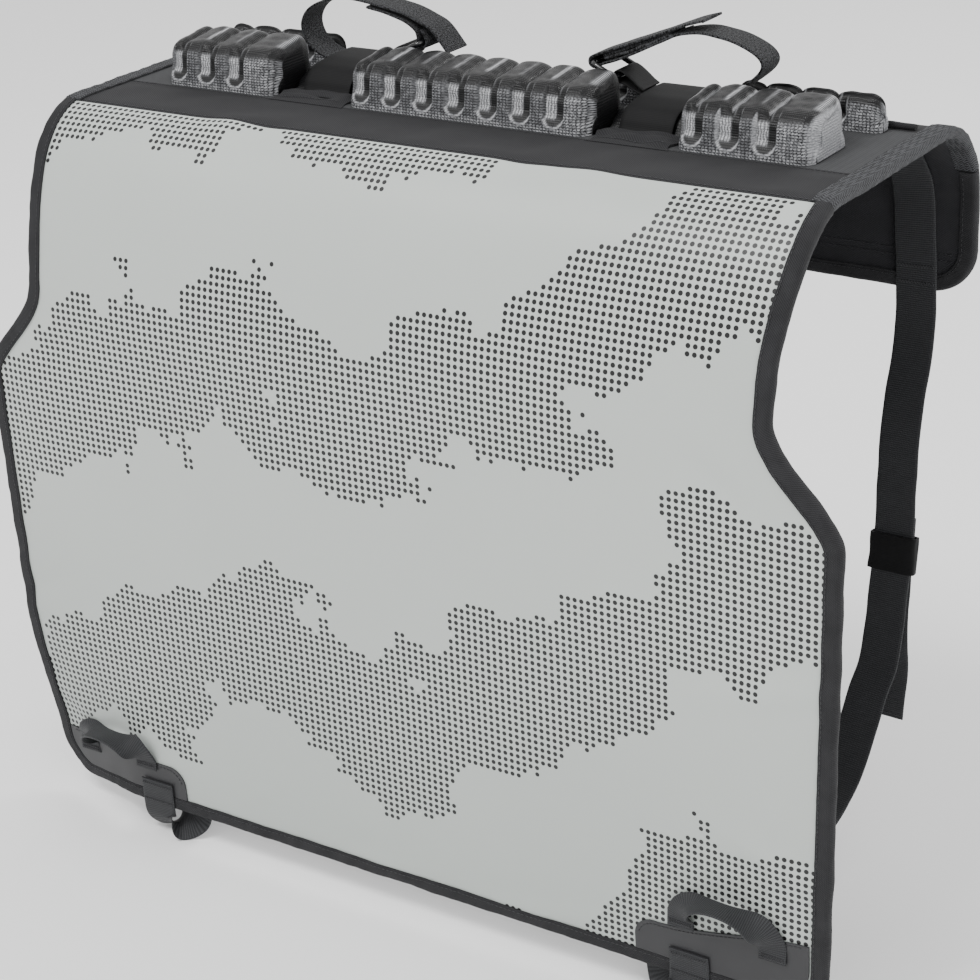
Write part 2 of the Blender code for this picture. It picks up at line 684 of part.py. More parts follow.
def make_corner_patches():
    """Smooth reinforcement at the two lower corners of the outer panel."""
    inset = BINDING_WIDTH + GAP
    inner_x = 0.196
    top_z = PANEL_BOTTOM + 0.038
    top_outer = PANEL_BOTTOM + 0.051
    end_radius = 0.014
    bottom = PANEL_BOTTOM + inset
    corner_x = PANEL_WIDTH_LOW / 2 - PANEL_CORNER
    corner_z = PANEL_BOTTOM + PANEL_CORNER
    reach = PANEL_CORNER - inset
    outline = [(inner_x, bottom)]
    for i in range(6):
        angle = math.pi / 2 * i / 5
        x = inner_x + end_radius * (1 - math.cos(angle))
        outline.append((x, top_z - end_radius * (1 - math.sin(angle))))
    side_x = corner_x + reach
    outline.append((side_x, top_outer))
    for i in range(7):
        angle = -math.pi / 2 * i / 6
        outline.append((corner_x + reach * math.cos(angle), corner_z + reach * math.sin(angle)))
    front = FRONT_Y - GAP
    for side, sign in SIDES:
        rings = [[Vector((sign * x, y, z)) for x, z in outline] for y in (front - 0.001, front)]
        sweep_section("corner_patch_" + side, rings, "dark_tarpaulin")


def make_corner_handles():
    """Webbing pulls that arch over the corner patches, sewn down at both feet."""
    centre_x = 0.266
    span = 0.034
    rise = 0.019
    bulge = 0.0125
    foot_z = PANEL_BOTTOM + 0.042
    face = FRONT_Y - 0.0013 - 2 * GAP - WEBBING / 2
    steps = 18
    for side, sign in SIDES:
        points = []
        widths = []
        for i in range(steps + 1):
            angle = math.pi * i / steps
            x = centre_x - span * math.cos(angle)
            z = foot_z + rise * math.sin(angle)
            out = bulge * math.sin(angle) ** 1.2
            points.append(Vector((sign * x, face - out, z)))
            widths.append(Vector((sign * math.cos(angle), -math.sin(angle), -0.3 * math.sin(angle))))
        foot = Vector((0.0, 0.0, -0.016))
        points = [points[0] + foot] + points + [points[-1] + foot]
        widths = [widths[0]] + widths + [widths[-1]]
        ribbon("corner_handle_" + side, points, widths, HANDLE_WEBBING, WEBBING, "webbing")


def make_corner_tabs():
    """Webbing loops that wrap the lower edge and take the tailgate straps."""
    front = FRONT_Y - BINDING_CLOTH - 2 * GAP - WEBBING / 2 - 0.0003
    back = FRONT_Y + STACK + BINDING_CLOTH + 2 * GAP + WEBBING / 2
    middle = (front + back) / 2
    profile = ((0.2330, front, 0.0225), (0.2330, front, 0.0120), (0.2325, front, -0.0040),
               (0.2300, front + 0.002, -0.0110), (0.2240, middle, -0.0150),
               (0.2140, back - 0.002, -0.0110), (0.2110, back, -0.0040),
               (0.2110, back, 0.0120), (0.2110, back, 0.0300))
    route = [(x, y, PANEL_BOTTOM + height) for x, y, height in profile]
    for side, sign in SIDES:
        points = smooth_route([Vector((sign * x, y, z)) for x, y, z in route], 3)
        widths = [Vector((1, 0, 0))] * len(points)
        ribbon("corner_tab_" + side, points, widths, TAB_WIDTH, WEBBING, "webbing")


def strap_route():
    """Points of the right tailgate strap, from the underside of the top to the corner tab."""
    inner = REAR_Y - STACK - BINDING_CLOTH - 2 * GAP - WEBBING / 2
    reach = inner - FLAT_END
    arc_z = TOP - REAR_RADIUS
    points = []
    for angle in (0.14, 0.45, 0.8, 1.15, 1.5):
        y = FLAT_END + reach * math.sin(angle)
        z = arc_z + (reach + 0.0005) * math.cos(angle)
        points.append(Vector((0.262, y, z)))
    lower = ((0.2620, inner, -0.0960), (0.2620, inner, TOP - FLAP_DROP - 0.004),
             (0.2620, inner - 0.003, -0.1620), (0.2620, 0.1190, -0.2205),
             (0.2615, 0.1120, -0.3125), (0.2600, 0.0980, -0.3845), (0.2580, 0.0830, -0.4120),
             (0.2545, 0.0560, -0.4560), (0.2500, 0.0250, -0.4840), (0.2420, -0.0450, -0.5080),
             (0.2300, -0.1050, -0.5240), (0.2190, -0.1290, -0.5225), (0.2140, -0.1362, -0.5120),
             (0.2130, STRAP_END_Y, -0.4980))
    return points + [Vector(p) for p in lower]


def make_tailgate_straps():
    """Webbing straps from the top's underside, down the flap and under the tailgate."""
    for side, sign in SIDES:
        mirror = [Vector((sign * p.x, p.y, p.z)) for p in strap_route()]
        points = smooth_route(mirror, 2)
        widths = [Vector((1, 0, 0))] * len(points)
        ribbon("tailgate_strap_" + side, points, widths, TAILGATE_STRAP_WIDTH, WEBBING, "webbing")
        make_strap_tail(side, sign)
        make_strap_keeper(side, sign)


def make_strap_tail(side, sign):
    """Loose end of the strap, which hangs behind it below the keeper."""
    tail = ((0.2618, 0.1180, -0.2850), (0.2615, 0.1148, -0.3125), (0.2610, 0.1130, -0.3400),
            (0.2605, 0.1115, -0.3750), (0.2600, 0.1150, -0.4110), (0.2590, 0.1100, -0.4440))
    points = smooth_route([Vector((sign * x, y, z)) for x, y, z in tail], 2)
    widths = [Vector((1, 0, 0))] * len(points)
    ribbon("strap_tail_" + side, points, widths, TAILGATE_STRAP_WIDTH - 0.001, WEBBING, "webbing")


def make_strap_keeper(side, sign):
    """Folded sleeve that keeps the strap and its loose end together."""
    centre = Vector((sign * 0.2615, 0.1133, -0.3125))
    along = Vector((sign * 0.0015, 0.0105, 0.0920)).normalized()
    across = Vector((1, 0, 0))
    normal = across.cross(along).normalized()
    half_w = TAILGATE_STRAP_WIDTH / 2 + 0.0012
    cloth = 0.0013
    half_t = 0.0030
    half_height = 0.0135
    outer = ((-half_w - cloth, -half_t - cloth), (half_w + cloth, -half_t - cloth),
             (half_w + cloth, half_t + cloth), (-half_w - cloth, half_t + cloth))
    inner = ((-half_w, -half_t), (half_w, -half_t), (half_w, half_t), (-half_w, half_t))
    mesh = bmesh.new()
    loops = []
    for profile in (outer, inner):
        for height in (-half_height, half_height):
            middle = centre + along * height
            loops.append([mesh.verts.new(middle + across * u + normal * v) for u, v in profile])
    for k in range(4):
        n = (k + 1) % 4
        mesh.faces.new((loops[0][k], loops[0][n], loops[1][n], loops[1][k]))
        mesh.faces.new((loops[2][k], loops[3][k], loops[3][n], loops[2][n]))
        mesh.faces.new((loops[0][k], loops[2][k], loops[2][n], loops[0][n]))
        mesh.faces.new((loops[1][k], loops[1][n], loops[3][n], loops[3][k]))
    add_part("strap_keeper_" + side, mesh, "webbing", smooth=False)


def main():
    """Build the whole pad."""
    clear_scene()
    make_front_panel()
    make_top()
    make_side_bands()
    make_rear_flap()
    make_rear_piping()
    make_blocks()
    make_saddles()
    make_bike_straps()
    make_ring_tabs()
    make_corner_patches()
    make_corner_handles()
    make_corner_tabs()
    make_tailgate_straps()


main()
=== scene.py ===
"""Looks of the tailgate bike pad: cloth, tape, webbing, foam rests and their finishes.

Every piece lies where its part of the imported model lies. Lengths are in metres: +X to the
right, +Y from the outer panel to the rear flap, +Z up, and the origin is the middle of the
flat underside of the top.
"""

from __future__ import annotations

import logging
import math
from collections.abc import Sequence
from dataclasses import dataclass, field
from enum import Enum
from typing import ClassVar

import bpy
import numpy as np
from mathutils import Matrix, Vector


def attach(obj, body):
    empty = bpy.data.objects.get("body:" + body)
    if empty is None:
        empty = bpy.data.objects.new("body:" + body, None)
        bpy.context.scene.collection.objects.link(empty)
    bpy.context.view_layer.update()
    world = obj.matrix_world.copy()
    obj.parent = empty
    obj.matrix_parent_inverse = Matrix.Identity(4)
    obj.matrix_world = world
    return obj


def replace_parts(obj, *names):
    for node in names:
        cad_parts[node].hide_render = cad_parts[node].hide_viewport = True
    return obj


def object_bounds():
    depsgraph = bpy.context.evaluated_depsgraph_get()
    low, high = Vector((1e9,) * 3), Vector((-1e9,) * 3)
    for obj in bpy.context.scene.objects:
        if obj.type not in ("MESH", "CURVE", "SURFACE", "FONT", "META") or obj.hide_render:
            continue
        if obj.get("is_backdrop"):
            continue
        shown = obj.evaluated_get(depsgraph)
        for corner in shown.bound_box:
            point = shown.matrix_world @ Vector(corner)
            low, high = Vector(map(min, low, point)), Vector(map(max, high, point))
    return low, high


LOG = logging.getLogger("bike_pad")
BODY = "root"
MM = 0.001
SIDES = (("left", -1), ("right", 1))

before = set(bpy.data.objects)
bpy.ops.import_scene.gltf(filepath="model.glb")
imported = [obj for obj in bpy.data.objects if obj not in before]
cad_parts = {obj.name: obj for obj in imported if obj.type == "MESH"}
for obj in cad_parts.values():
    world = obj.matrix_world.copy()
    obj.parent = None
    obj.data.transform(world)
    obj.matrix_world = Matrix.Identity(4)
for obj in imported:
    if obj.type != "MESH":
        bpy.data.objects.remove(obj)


def linear(hex_colour: str, alpha: float = 1.0) -> tuple[float, float, float, float]:
    """Turn an sRGB hex colour into linear light.

    Args:
        hex_colour: Colour such as "#3A3A3C".
        alpha: Opacity from 0 to 1.

    Returns:
        Red, green, blue and alpha in linear light.
    """
    channels = [int(hex_colour[i:i + 2], 16) / 255 for i in (1, 3, 5)]
    bent = [c / 12.92 if c <= 0.04045 else ((c + 0.055) / 1.055) ** 2.4 for c in channels]
    return bent[0], bent[1], bent[2], alpha


def add_node(tree: bpy.types.NodeTree, kind: str, inputs: dict | None = None,
             **settings: object) -> bpy.types.Node:
    """Add one shader node with its settings, input values and links.

    Args:
        tree: Node tree of the material.
        kind: Blender's type name of the node.
        inputs: Value or output socket for each input, by name or number.
        settings: Attributes of the node.

    Returns:
        The new node.
    """
    node = tree.nodes.new(kind)
    for name, value in settings.items():
        setattr(node, name, value)
    for key, value in (inputs or {}).items():
        if isinstance(value, bpy.types.NodeSocket):
            tree.links.new(value, node.inputs[key])
        else:
            node.inputs[key].default_value = value
    return node


class Shade:
    """Node tree of one material, with the few sums that its patterns share."""

    def __init__(self, name: str, colour: str, roughness: float) -> None:
        """Start a Principled material with an even colour.

        Args:
            name: Name of the real finish.
            colour: sRGB hex colour.
            roughness: Roughness of the surface.
        """
        self.material = bpy.data.materials.new(name)
        self.material.use_nodes = True
        self.tree = self.material.node_tree
        self.shader = self.tree.nodes["Principled BSDF"]
        self.shader.inputs["Base Color"].default_value = linear(colour)
        self.shader.inputs["Roughness"].default_value = roughness
        cloth = add_node(self.tree, "ShaderNodeUVMap", uv_map="cloth")
        split = add_node(self.tree, "ShaderNodeSeparateXYZ", {0: cloth.outputs[0]})
        self.place = cloth.outputs[0]
        self.across = split.outputs[0]
        self.along = split.outputs[1]

    def math(self, operation: str, *values: object) -> bpy.types.NodeSocket:
        """Combine numbers or sockets with one sum, and return its result."""
        node = add_node(self.tree, "ShaderNodeMath", dict(enumerate(values)), operation=operation)
        return node.outputs[0]

    def stripes(self, line: bpy.types.NodeSocket, period: float) -> bpy.types.NodeSocket:
        """Make even stripes from 0 to 1.

        Args:
            line: Distance in metres that the stripes count.
            period: Width of one thread or rib, in metres.

        Returns:
            Socket of the stripes.
        """
        wave = self.math("SINE", self.math("MULTIPLY", line, 2 * math.pi / period))
        return self.math("MULTIPLY_ADD", wave, 0.5, 0.5)

    def cloudy(self, size: float, detail: float = 2.0) -> bpy.types.NodeSocket:
        """Make soft noise from 0 to 1 over the cloth, with spots of the given size in metres."""
        node = add_node(self.tree, "ShaderNodeTexNoise",
                        {"Vector": self.place, "Scale": 1 / size, "Detail": detail},
                        noise_dimensions="2D")
        return node.outputs[0]

    def step(self, value: bpy.types.NodeSocket, low: float, high: float) -> bpy.types.NodeSocket:
        """Turn a value into a soft step from 0 below low to 1 above high."""
        node = add_node(self.tree, "ShaderNodeMapRange",
                        {"Value": value, "From Min": low, "From Max": high},
                        interpolation_type="SMOOTHSTEP")
        return node.outputs[0]

    def blend(self, share: object, first: object, second: object) -> bpy.types.NodeSocket:
        """Mix two colours by a share from 0 to 1."""
        node = add_node(self.tree, "ShaderNodeMix", {0: share, 6: first, 7: second},
                        data_type="RGBA")
        return node.outputs[2]

    def mixture(self, first: bpy.types.NodeSocket, share: float, second: bpy.types.NodeSocket,
                rest: float) -> bpy.types.NodeSocket:
        """Add two patterns, each by its own share."""
        return self.math("MULTIPLY_ADD", first, share, self.math("MULTIPLY", second, rest))

    def paint(self, colour: bpy.types.NodeSocket) -> None:
        """Use a colour pattern on the surface."""
        self.tree.links.new(colour, self.shader.inputs["Base Color"])

    def relief(self, height: bpy.types.NodeSocket, depth: float, strength: float = 1.0) -> None:
        """Raise the surface by a pattern.

        Args:
            height: Pattern from 0 to 1.
            depth: Real height of the pattern in metres.
            strength: Share of the relief that shows.
        """
        bump = add_node(self.tree, "ShaderNodeBump",
                        {"Strength": strength, "Distance": depth, "Height": height})
        self.tree.links.new(bump.outputs[0], self.shader.inputs["Normal"])

    def sheen(self, weight: float, roughness: float) -> None:
        """Give cloth its soft light at the edges."""
        self.shader.inputs["Sheen Weight"].default_value = weight
        self.shader.inputs["Sheen Roughness"].default_value = roughness


class Weave(Enum):
    """Ways in which the pad's cloths are made."""

    TWILL = "twill"
    RIB_ACROSS = "rib across"
    KNIT = "knit"
    PILE = "pile"


@dataclass(frozen=True)
class Cloth:
    """A woven or knitted finish: two thread colours, a weave and its real thread spacing."""

    name: str
    dark: str
    light: str
    weave: Weave
    spacing: float
    roughness: float
    depth: float
    sheen: float = 0.2
    mottle: float = 0.25
    specular: float = 0.25

    def pattern(self, shade: Shade) -> bpy.types.NodeSocket:
        """Lay out the threads as a height from 0 to 1."""
        across = shade.across
        along = shade.along
        if self.weave is Weave.TWILL:
            diagonal = shade.math("MULTIPLY_ADD", across, 0.8, along)
            lines = shade.stripes(diagonal, self.spacing)
            threads = shade.stripes(across, self.spacing * 0.7)
            return shade.mixture(threads, 0.3, lines, 0.7)
        if self.weave is Weave.RIB_ACROSS:
            ribs = shade.stripes(along, self.spacing)
            threads = shade.stripes(across, self.spacing * 0.8)
            return shade.mixture(threads, 0.3, ribs, 0.7)
        if self.weave is Weave.KNIT:
            zigzag = shade.math("ABSOLUTE", shade.math(
                "SUBTRACT", shade.math("FRACT", shade.math("DIVIDE", across, self.spacing * 2)), 0.5))
            shifted = shade.math("MULTIPLY_ADD", zigzag, self.spacing * 1.6, along)
            return shade.stripes(shifted, self.spacing)
        return shade.step(shade.cloudy(self.spacing, 3.0), 0.38, 0.66)

    def material(self) -> bpy.types.Material:
        """Make the material."""
        shade = Shade(self.name, self.dark, self.roughness)
        threads = self.pattern(shade)
        spots = shade.cloudy(self.spacing * 9, 4.0)
        share = shade.mixture(spots, self.mottle, threads, 1 - self.mottle)
        shade.paint(shade.blend(share, linear(self.dark), linear(self.light)))
        shade.relief(threads, self.depth)
        shade.sheen(self.sheen, 0.4)
        shade.shader.inputs["Specular IOR Level"].default_value = self.specular
        return shade.material


@dataclass(frozen=True)
class PrintedTarpaulin:
    """PVC-coated polyester, calendered semi-matt, with dots printed on it in one dark ink."""

    name: str = "PVC tarpaulin, printed"
    ground: str = "#BCC1BD"
    ground_low: str = "#A8AEAA"
    ink: str = "#0B0B0C"
    dot_pitch: float = 5.0 * MM
    dot_radius: float = 1.65 * MM
    scrim: float = 1.1 * MM
    dot_edge: float = 0.12 * MM
    band_period: float = 0.225
    band_slope: float = -0.30
    slow_wave: tuple[float, float, float] = (0.46, 0.9, 0.036)
    quick_wave: tuple[float, float, float] = (0.17, 2.1, 0.012)
    ragged_scale: float = 17.0
    bare_centre: tuple[float, float] = (-0.085, -0.595)
    bare_reach: tuple[float, float] = (0.185, 0.075)

    def field(self, shade: Shade, cell: bpy.types.NodeSocket) -> bpy.types.NodeSocket:
        """Choose which dots are printed: wavy bands with ragged edges, and one bare place."""
        split = add_node(shade.tree, "ShaderNodeSeparateXYZ", {0: cell})
        x = split.outputs[0]
        run = split.outputs[1]
        line = shade.math("MULTIPLY_ADD", x, self.band_slope, run)
        for period, start, height in (self.slow_wave, self.quick_wave):
            wave = shade.math("SINE", shade.math("MULTIPLY_ADD", x, 2 * math.pi / period, start))
            line = shade.math("MULTIPLY_ADD", wave, height, line)
        bands = shade.math("SINE", shade.math("MULTIPLY", line, 2 * math.pi / self.band_period))
        ragged = add_node(shade.tree, "ShaderNodeTexNoise",
                          {"Vector": cell, "Scale": self.ragged_scale, "Detail": 3.0},
                          noise_dimensions="2D").outputs[0]
        ragged = shade.math("MULTIPLY_ADD", ragged, 3.4, -1.66)
        printed = shade.math("GREATER_THAN", shade.math("ADD", bands, ragged), 0.0)
        squares = []
        for place, centre, reach in zip((x, run), self.bare_centre, self.bare_reach):
            share = shade.math("DIVIDE", shade.math("SUBTRACT", place, centre), reach)
            squares.append(shade.math("POWER", share, 2.0))
        away = shade.math("ADD", *squares)
        return shade.math("MULTIPLY", printed, shade.math("GREATER_THAN", away, 1.0))

    def material(self) -> bpy.types.Material:
        """Make the material. The scrim of the woven core shows as faint upright lines."""
        shade = Shade(self.name, self.ground, 0.46)
        tree = shade.tree
        scaled = add_node(tree, "ShaderNodeVectorMath",
                          {0: shade.place, "Scale": 1 / self.dot_pitch}, operation="SCALE")
        whole = add_node(tree, "ShaderNodeVectorMath", {0: scaled.outputs[0]}, operation="FLOOR")
        middle = add_node(tree, "ShaderNodeVectorMath", {0: whole.outputs[0], 1: (0.5, 0.5, 0)},
                          operation="ADD")
        cell = add_node(tree, "ShaderNodeVectorMath",
                        {0: middle.outputs[0], "Scale": self.dot_pitch}, operation="SCALE")
        away = add_node(tree, "ShaderNodeVectorMath", {0: shade.place, 1: cell.outputs[0]},
                        operation="DISTANCE")
        inside = shade.math("SUBTRACT", 1.0, shade.step(
            away.outputs["Value"], self.dot_radius - self.dot_edge,
            self.dot_radius + self.dot_edge))
        ink = shade.math("MULTIPLY", inside, self.field(shade, cell.outputs[0]))
        upright = shade.stripes(shade.across, self.scrim)
        level = shade.stripes(shade.along, self.scrim * 1.5)
        scrim = shade.mixture(level, 0.35, upright, 0.65)
        # Cloudy patches, and darker towards the panel's lower edge
        darker_low_cloudy = shade.math("MULTIPLY_ADD", shade.cloudy(0.16, 3.0), 0.5,
                            shade.step(shade.along, -0.25, -0.62))
        ground = shade.blend(shade.mixture(darker_low_cloudy, 0.55, scrim, 0.10), linear(self.ground),
                             linear(self.ground_low))
        shade.paint(shade.blend(ink, ground, linear(self.ink)))
        grain = shade.math("MULTIPLY_ADD", shade.cloudy(0.004, 3.0), 0.6, scrim)
        shade.relief(grain, 0.05 * MM, 0.6)
        return shade.material


@dataclass(frozen=True)
class RidgeMesh:
    """Black and silver warp-knit mesh, heat-laminated over moulded EVA foam."""

    name: str
    dark: str = "#0C0C0D"
    # Silver yarn of the mesh, also the colour of the painted highlights
    silver: str = "#C8C9CC"
    top: str = "#101012"
    # Painted shade: dark band along the right side and bottom of each U
    wall: str = "#161617"
    # Land colours: dark, plain, and painted light for the last land and the foot
    land: tuple[str, str, str] = ("#1F1F21", "#86878A", "#B4B5B8")
    hollow: str = "#29292B"
    # Lighter ribbed colours of the faces turned to +X: painted light
    ribs: tuple[str, str] = ("#77787B", "#B6B7BA")
    spacing: float = 1.1 * MM
    row: float = 1.9 * MM
    stitch: float = 2.6 * MM
    chain: float = 2.1 * MM
    relief: float = 0.30 * MM
    lit_end_share: float = 0.0

    def material(self) -> bpy.types.Material:
        """Make the material. The knit opens where it is stretched, in grooves and on fronts, and the
        fronts are also painted lighter than the tops as painted light.
        """
        shade = Shade(self.name, self.top, 0.30)
        shade.shader.inputs["Specular IOR Level"].default_value = 0.30
        tree = shade.tree
        zigzag = shade.math("PINGPONG", shade.along, self.spacing)
        loops = shade.stripes(shade.math("ADD", shade.across, zigzag), self.spacing * 1.3)
        rows = shade.stripes(shade.along, self.row)
        knit = shade.mixture(rows, 0.6, loops, 0.4)
        fine = shade.step(shade.cloudy(self.spacing * 0.9, 1.0), 0.36, 0.66)
        uneven = shade.step(shade.cloudy(self.spacing * 4, 2.0), 0.35, 0.65)
        wander = shade.math("MULTIPLY_ADD", shade.cloudy(self.spacing * 5, 1.0), 2.0 * MM,
                            shade.across)
        chains = shade.step(shade.stripes(wander, self.chain), 0.15, 0.80)
        chains = shade.math("MULTIPLY", shade.math("MULTIPLY_ADD", chains, 0.65, 0.35),
                            shade.math("MULTIPLY_ADD", fine, 0.55, 0.45))
        normal = add_node(tree, "ShaderNodeNewGeometry").outputs["Normal"]
        facing = add_node(tree, "ShaderNodeSeparateXYZ", {0: normal})
        # Painted light: faces turned to +X take the lighter ribbed colours
        side = shade.math("MULTIPLY", shade.step(facing.outputs[0], 0.55, 0.90),
                          self.lit_end_share)
        # Painted light: the last land and the strip along the foot take the lighter land colour
        lit = shade.blend(self.tagged(shade, "lit"), linear(self.land[1]),
                          linear(self.land[2]))
        stagger = shade.stripes(shade.math("ADD", shade.across, zigzag), self.stitch)
        stitches = shade.step(shade.math("MULTIPLY", stagger, rows), 0.08, 0.42)
        specks = shade.mixture(stitches, 0.6, fine, 0.4)
        land = shade.blend(
            shade.math("MULTIPLY", specks, shade.math("MULTIPLY_ADD", uneven, 0.5, 0.5)),
            linear(self.land[0]), lit)
        meshed = shade.blend(chains, linear(self.hollow), linear(self.silver))
        # The U's lit side shows the silver chain mesh: partly the real silver yarn, partly painted
        # light
        front = shade.blend(self.tagged(shade, "inside"), land, meshed)
        ribs = shade.mixture(rows, 0.35, fine, 0.65)
        ribbed = shade.blend(ribs, linear(self.ribs[0]), linear(self.ribs[1]))
        plain = shade.blend(knit, linear(self.dark), linear(self.top))
        dots = shade.step(rows, 0.15, 0.75)
        # Painted highlight: dotted glints along the ridges' crests and on the ends' shoulders
        glint = shade.math("MULTIPLY", self.tagged(shade, "glint"), dots)
        # Painted light: below the crown the fronts take the lighter front colours, while the tops
        # stay dark
        colour = shade.blend(self.tagged(shade, "open"), plain, front)
        # Painted shade: the valleys between the ridges on the tops are painted dark
        colour = shade.blend(self.tagged(shade, "valley_shade"), colour, linear(self.dark))
        colour = shade.blend(side, colour, ribbed)
        # Painted shade: the U's right side and bottom, turned from the light, are painted dark
        colour = shade.blend(self.tagged(shade, "wall"), colour, linear(self.wall))
        # Painted highlights: the glints, and the bright rim lines round the U's and along the ridges'
        # left edges, are painted silver
        painted_highlight = shade.math("MAXIMUM", glint, self.tagged(shade, "rim"))
        colour = shade.blend(painted_highlight, colour, linear(self.silver))
        shade.paint(colour)
        shade.relief(knit, self.relief, 0.8)
        return shade.material

    @staticmethod
    def tagged(shade: Shade, name: str) -> bpy.types.NodeSocket:
        """Read one of the numbers stored on the block."""
        return add_node(shade.tree, "ShaderNodeAttribute", attribute_name=name).outputs["Fac"]


@dataclass(frozen=True)
class Moulded:
    """Smooth moulded or coated finish with a faint grain."""

    name: str
    colour: str
    roughness: float
    grain: float
    depth: float
    coat: float = 0.0

    def material(self) -> bpy.types.Material:
        """Make the material."""
        shade = Shade(self.name, self.colour, self.roughness)
        shade.relief(shade.cloudy(self.grain, 3.0), self.depth, 0.5)
        shade.shader.inputs["Coat Weight"].default_value = self.coat
        return shade.material


class Finishes:
    """Every material of the pad, made once."""

    def __init__(self) -> None:
        """Make the materials."""
        self.tarpaulin = PrintedTarpaulin().material()
        # Charcoal polyester twill: fine diagonal lines, matt
        # Drawn at twice the thread spacing so that the diagonal shows
        self.twill = Cloth("polyester twill, charcoal", "#141415", "#363638", Weave.TWILL,
                           1.7 * MM, 0.9, 0.15 * MM, 0.02, 0.12).material()
        # Brushed polyester binding tape: fuzzy, darker at the fold
        self.tape = Cloth("polyester binding tape", "#141415", "#353537", Weave.TWILL,
                          1.6 * MM, 0.9, 0.25 * MM, 0.06, 0.45).material()
        # Ribbed polyester under the rests: ribs run along the tailgate
        self.ribbed = Cloth("ribbed polyester", "#1E1E1F", "#48494B", Weave.RIB_ACROSS,
                            2.4 * MM, 0.8, 0.35 * MM, 0.04, 0.15).material()
        # Chunky rib-knit edging: zigzag ribs, light grey
        self.knit = Cloth("rib-knit edging", "#141415", "#525356", Weave.KNIT,
                          2.2 * MM, 0.85, 0.55 * MM, 0.04).material()
        self.mesh = RidgeMesh("mesh-laminated EVA foam").material()
        # Lit copy of the mesh: the +X ends of the right-hand blocks are painted light
        self.lit_end_mesh = RidgeMesh("mesh-laminated EVA foam, silver side",
                                     lit_end_share=0.95).material()
        # Polyester lining: near black, matt, faint weave
        self.lining = Cloth("polyester lining", "#1C1C1E", "#343437", Weave.TWILL,
                            1.6 * MM, 0.9, 0.15 * MM, 0.06, 0.5).material()
        # Ribbed polypropylene webbing: tight cross ribs with a low sheen
        self.webbing = Cloth("polypropylene webbing", "#18181A", "#3A3B3D", Weave.RIB_ACROSS,
                             1.5 * MM, 0.6, 0.25 * MM, 0.05, 0.15).material()
        # Seat-belt style webbing: smooth, dark grey, faint cross lines
        self.belt = Cloth("smooth polyester webbing", "#060607", "#0F0F10", Weave.RIB_ACROSS,
                          1.2 * MM, 0.7, 0.10 * MM, 0.01, 0.2).material()
        # Napped hook-and-loop tape: fuzzy loops with light specks
        self.napped = Cloth("napped hook-and-loop tape", "#050506", "#424346", Weave.PILE,
                            1.2 * MM, 0.95, 0.9 * MM, 0.10, 0.1).material()
        # Dark coated patch: same tarpaulin in charcoal, smooth
        self.patch = Moulded("PVC tarpaulin, charcoal", "#28282A", 0.5, 0.6 * MM,
                             0.05 * MM).material()
        # Moulded acetal ring: glossy black
        self.ring = Moulded("acetal, moulded black", "#101012", 0.18, 2.0 * MM, 0.02 * MM,
                            0.4).material()
        # Bonded polyester thread: dark, slightly glossy
        self.thread = Moulded("bonded polyester thread", "#242427", 0.5, 0.5 * MM,
                              0.05 * MM).material()
        # Closed-cell foam core, hidden between the cloths
        self.foam = Moulded("closed-cell foam", "#3A3A3C", 0.95, 1.5 * MM, 0.1 * MM).material()


def waves(u: np.ndarray, v: np.ndarray, length: float, seed: int) -> np.ndarray:
    """Make smooth repeatable noise from about -1 to 1.

    Args:
        u: First distance in metres.
        v: Second distance in metres.
        length: Usual distance between two crests.
        seed: Choice of pattern.

    Returns:
        Noise for each pair of distances.
    """
    chance = np.random.default_rng(seed)
    total = np.zeros(np.broadcast(u, v).shape)
    count = 7
    for _ in range(count):
        turn, start = chance.uniform(0, 2 * math.pi, 2)
        wave = length * chance.uniform(0.7, 1.5)
        total += np.sin((u * math.cos(turn) + v * math.sin(turn)) * 2 * math.pi / wave + start)
    return total / math.sqrt(count)


def ease(value: np.ndarray | float) -> np.ndarray | float:
    """Smooth step from 0 to 1."""
    value = np.clip(value, 0.0, 1.0)
    return value * value * (3 - 2 * value)


def distances(points: np.ndarray) -> np.ndarray:
    """Distance of each point along a line of points, from its first one."""
    return np.concatenate([[0], np.cumsum(np.linalg.norm(np.diff(points, axis=0), axis=1))])


def read_along(places: np.ndarray, length: np.ndarray, points: np.ndarray) -> np.ndarray:
    """Points of a line at the given distances along it."""
    return np.stack([np.interp(places, length, column) for column in points.T], -1)


def together(*values: np.ndarray | float) -> np.ndarray:
    """Stretch grids of numbers to one shape, and join them as coordinates."""
    return np.stack(np.broadcast_arrays(*values), -1)


def mirrored(route: Sequence[Sequence[float]], sign: int) -> list[tuple[float, float, float]]:
    """Turn a right-hand route into the route of the side with this sign."""
    return [(sign * x, y, z) for x, y, z in route]


def piece(name: str, points: np.ndarray, faces: np.ndarray | list, cloth: np.ndarray,
          material: bpy.types.Material, angle: float = 45.0) -> bpy.types.Object:
    """Make one shown piece that rides on the pad.

    Args:
        name: Name of the piece.
        points: Vertices, one row each.
        faces: Vertex numbers of each face.
        cloth: Place of each vertex on the flat cloth, in metres.
        material: Finish.
        angle: Edges sharper than this stay hard, in degrees.

    Returns:
        The new object.
    """
    mesh = bpy.data.meshes.new(name)
    mesh.from_pydata(points.tolist(), [], faces if isinstance(faces, list) else faces.tolist())
    mesh.update()
    layer = mesh.uv_layers.new(name="cloth")
    corners = np.zeros(len(mesh.loops), dtype=np.int32)
    mesh.loops.foreach_get("vertex_index", corners)
    layer.data.foreach_set("uv", cloth[corners].astype(np.float32).ravel())
    mesh.shade_smooth()
    mesh.set_sharp_from_angle(angle=math.radians(angle))
    mesh.materials.append(material)
    shown = bpy.data.objects.new(name, mesh)
    bpy.context.scene.collection.objects.link(shown)
    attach(shown, BODY)
    return shown


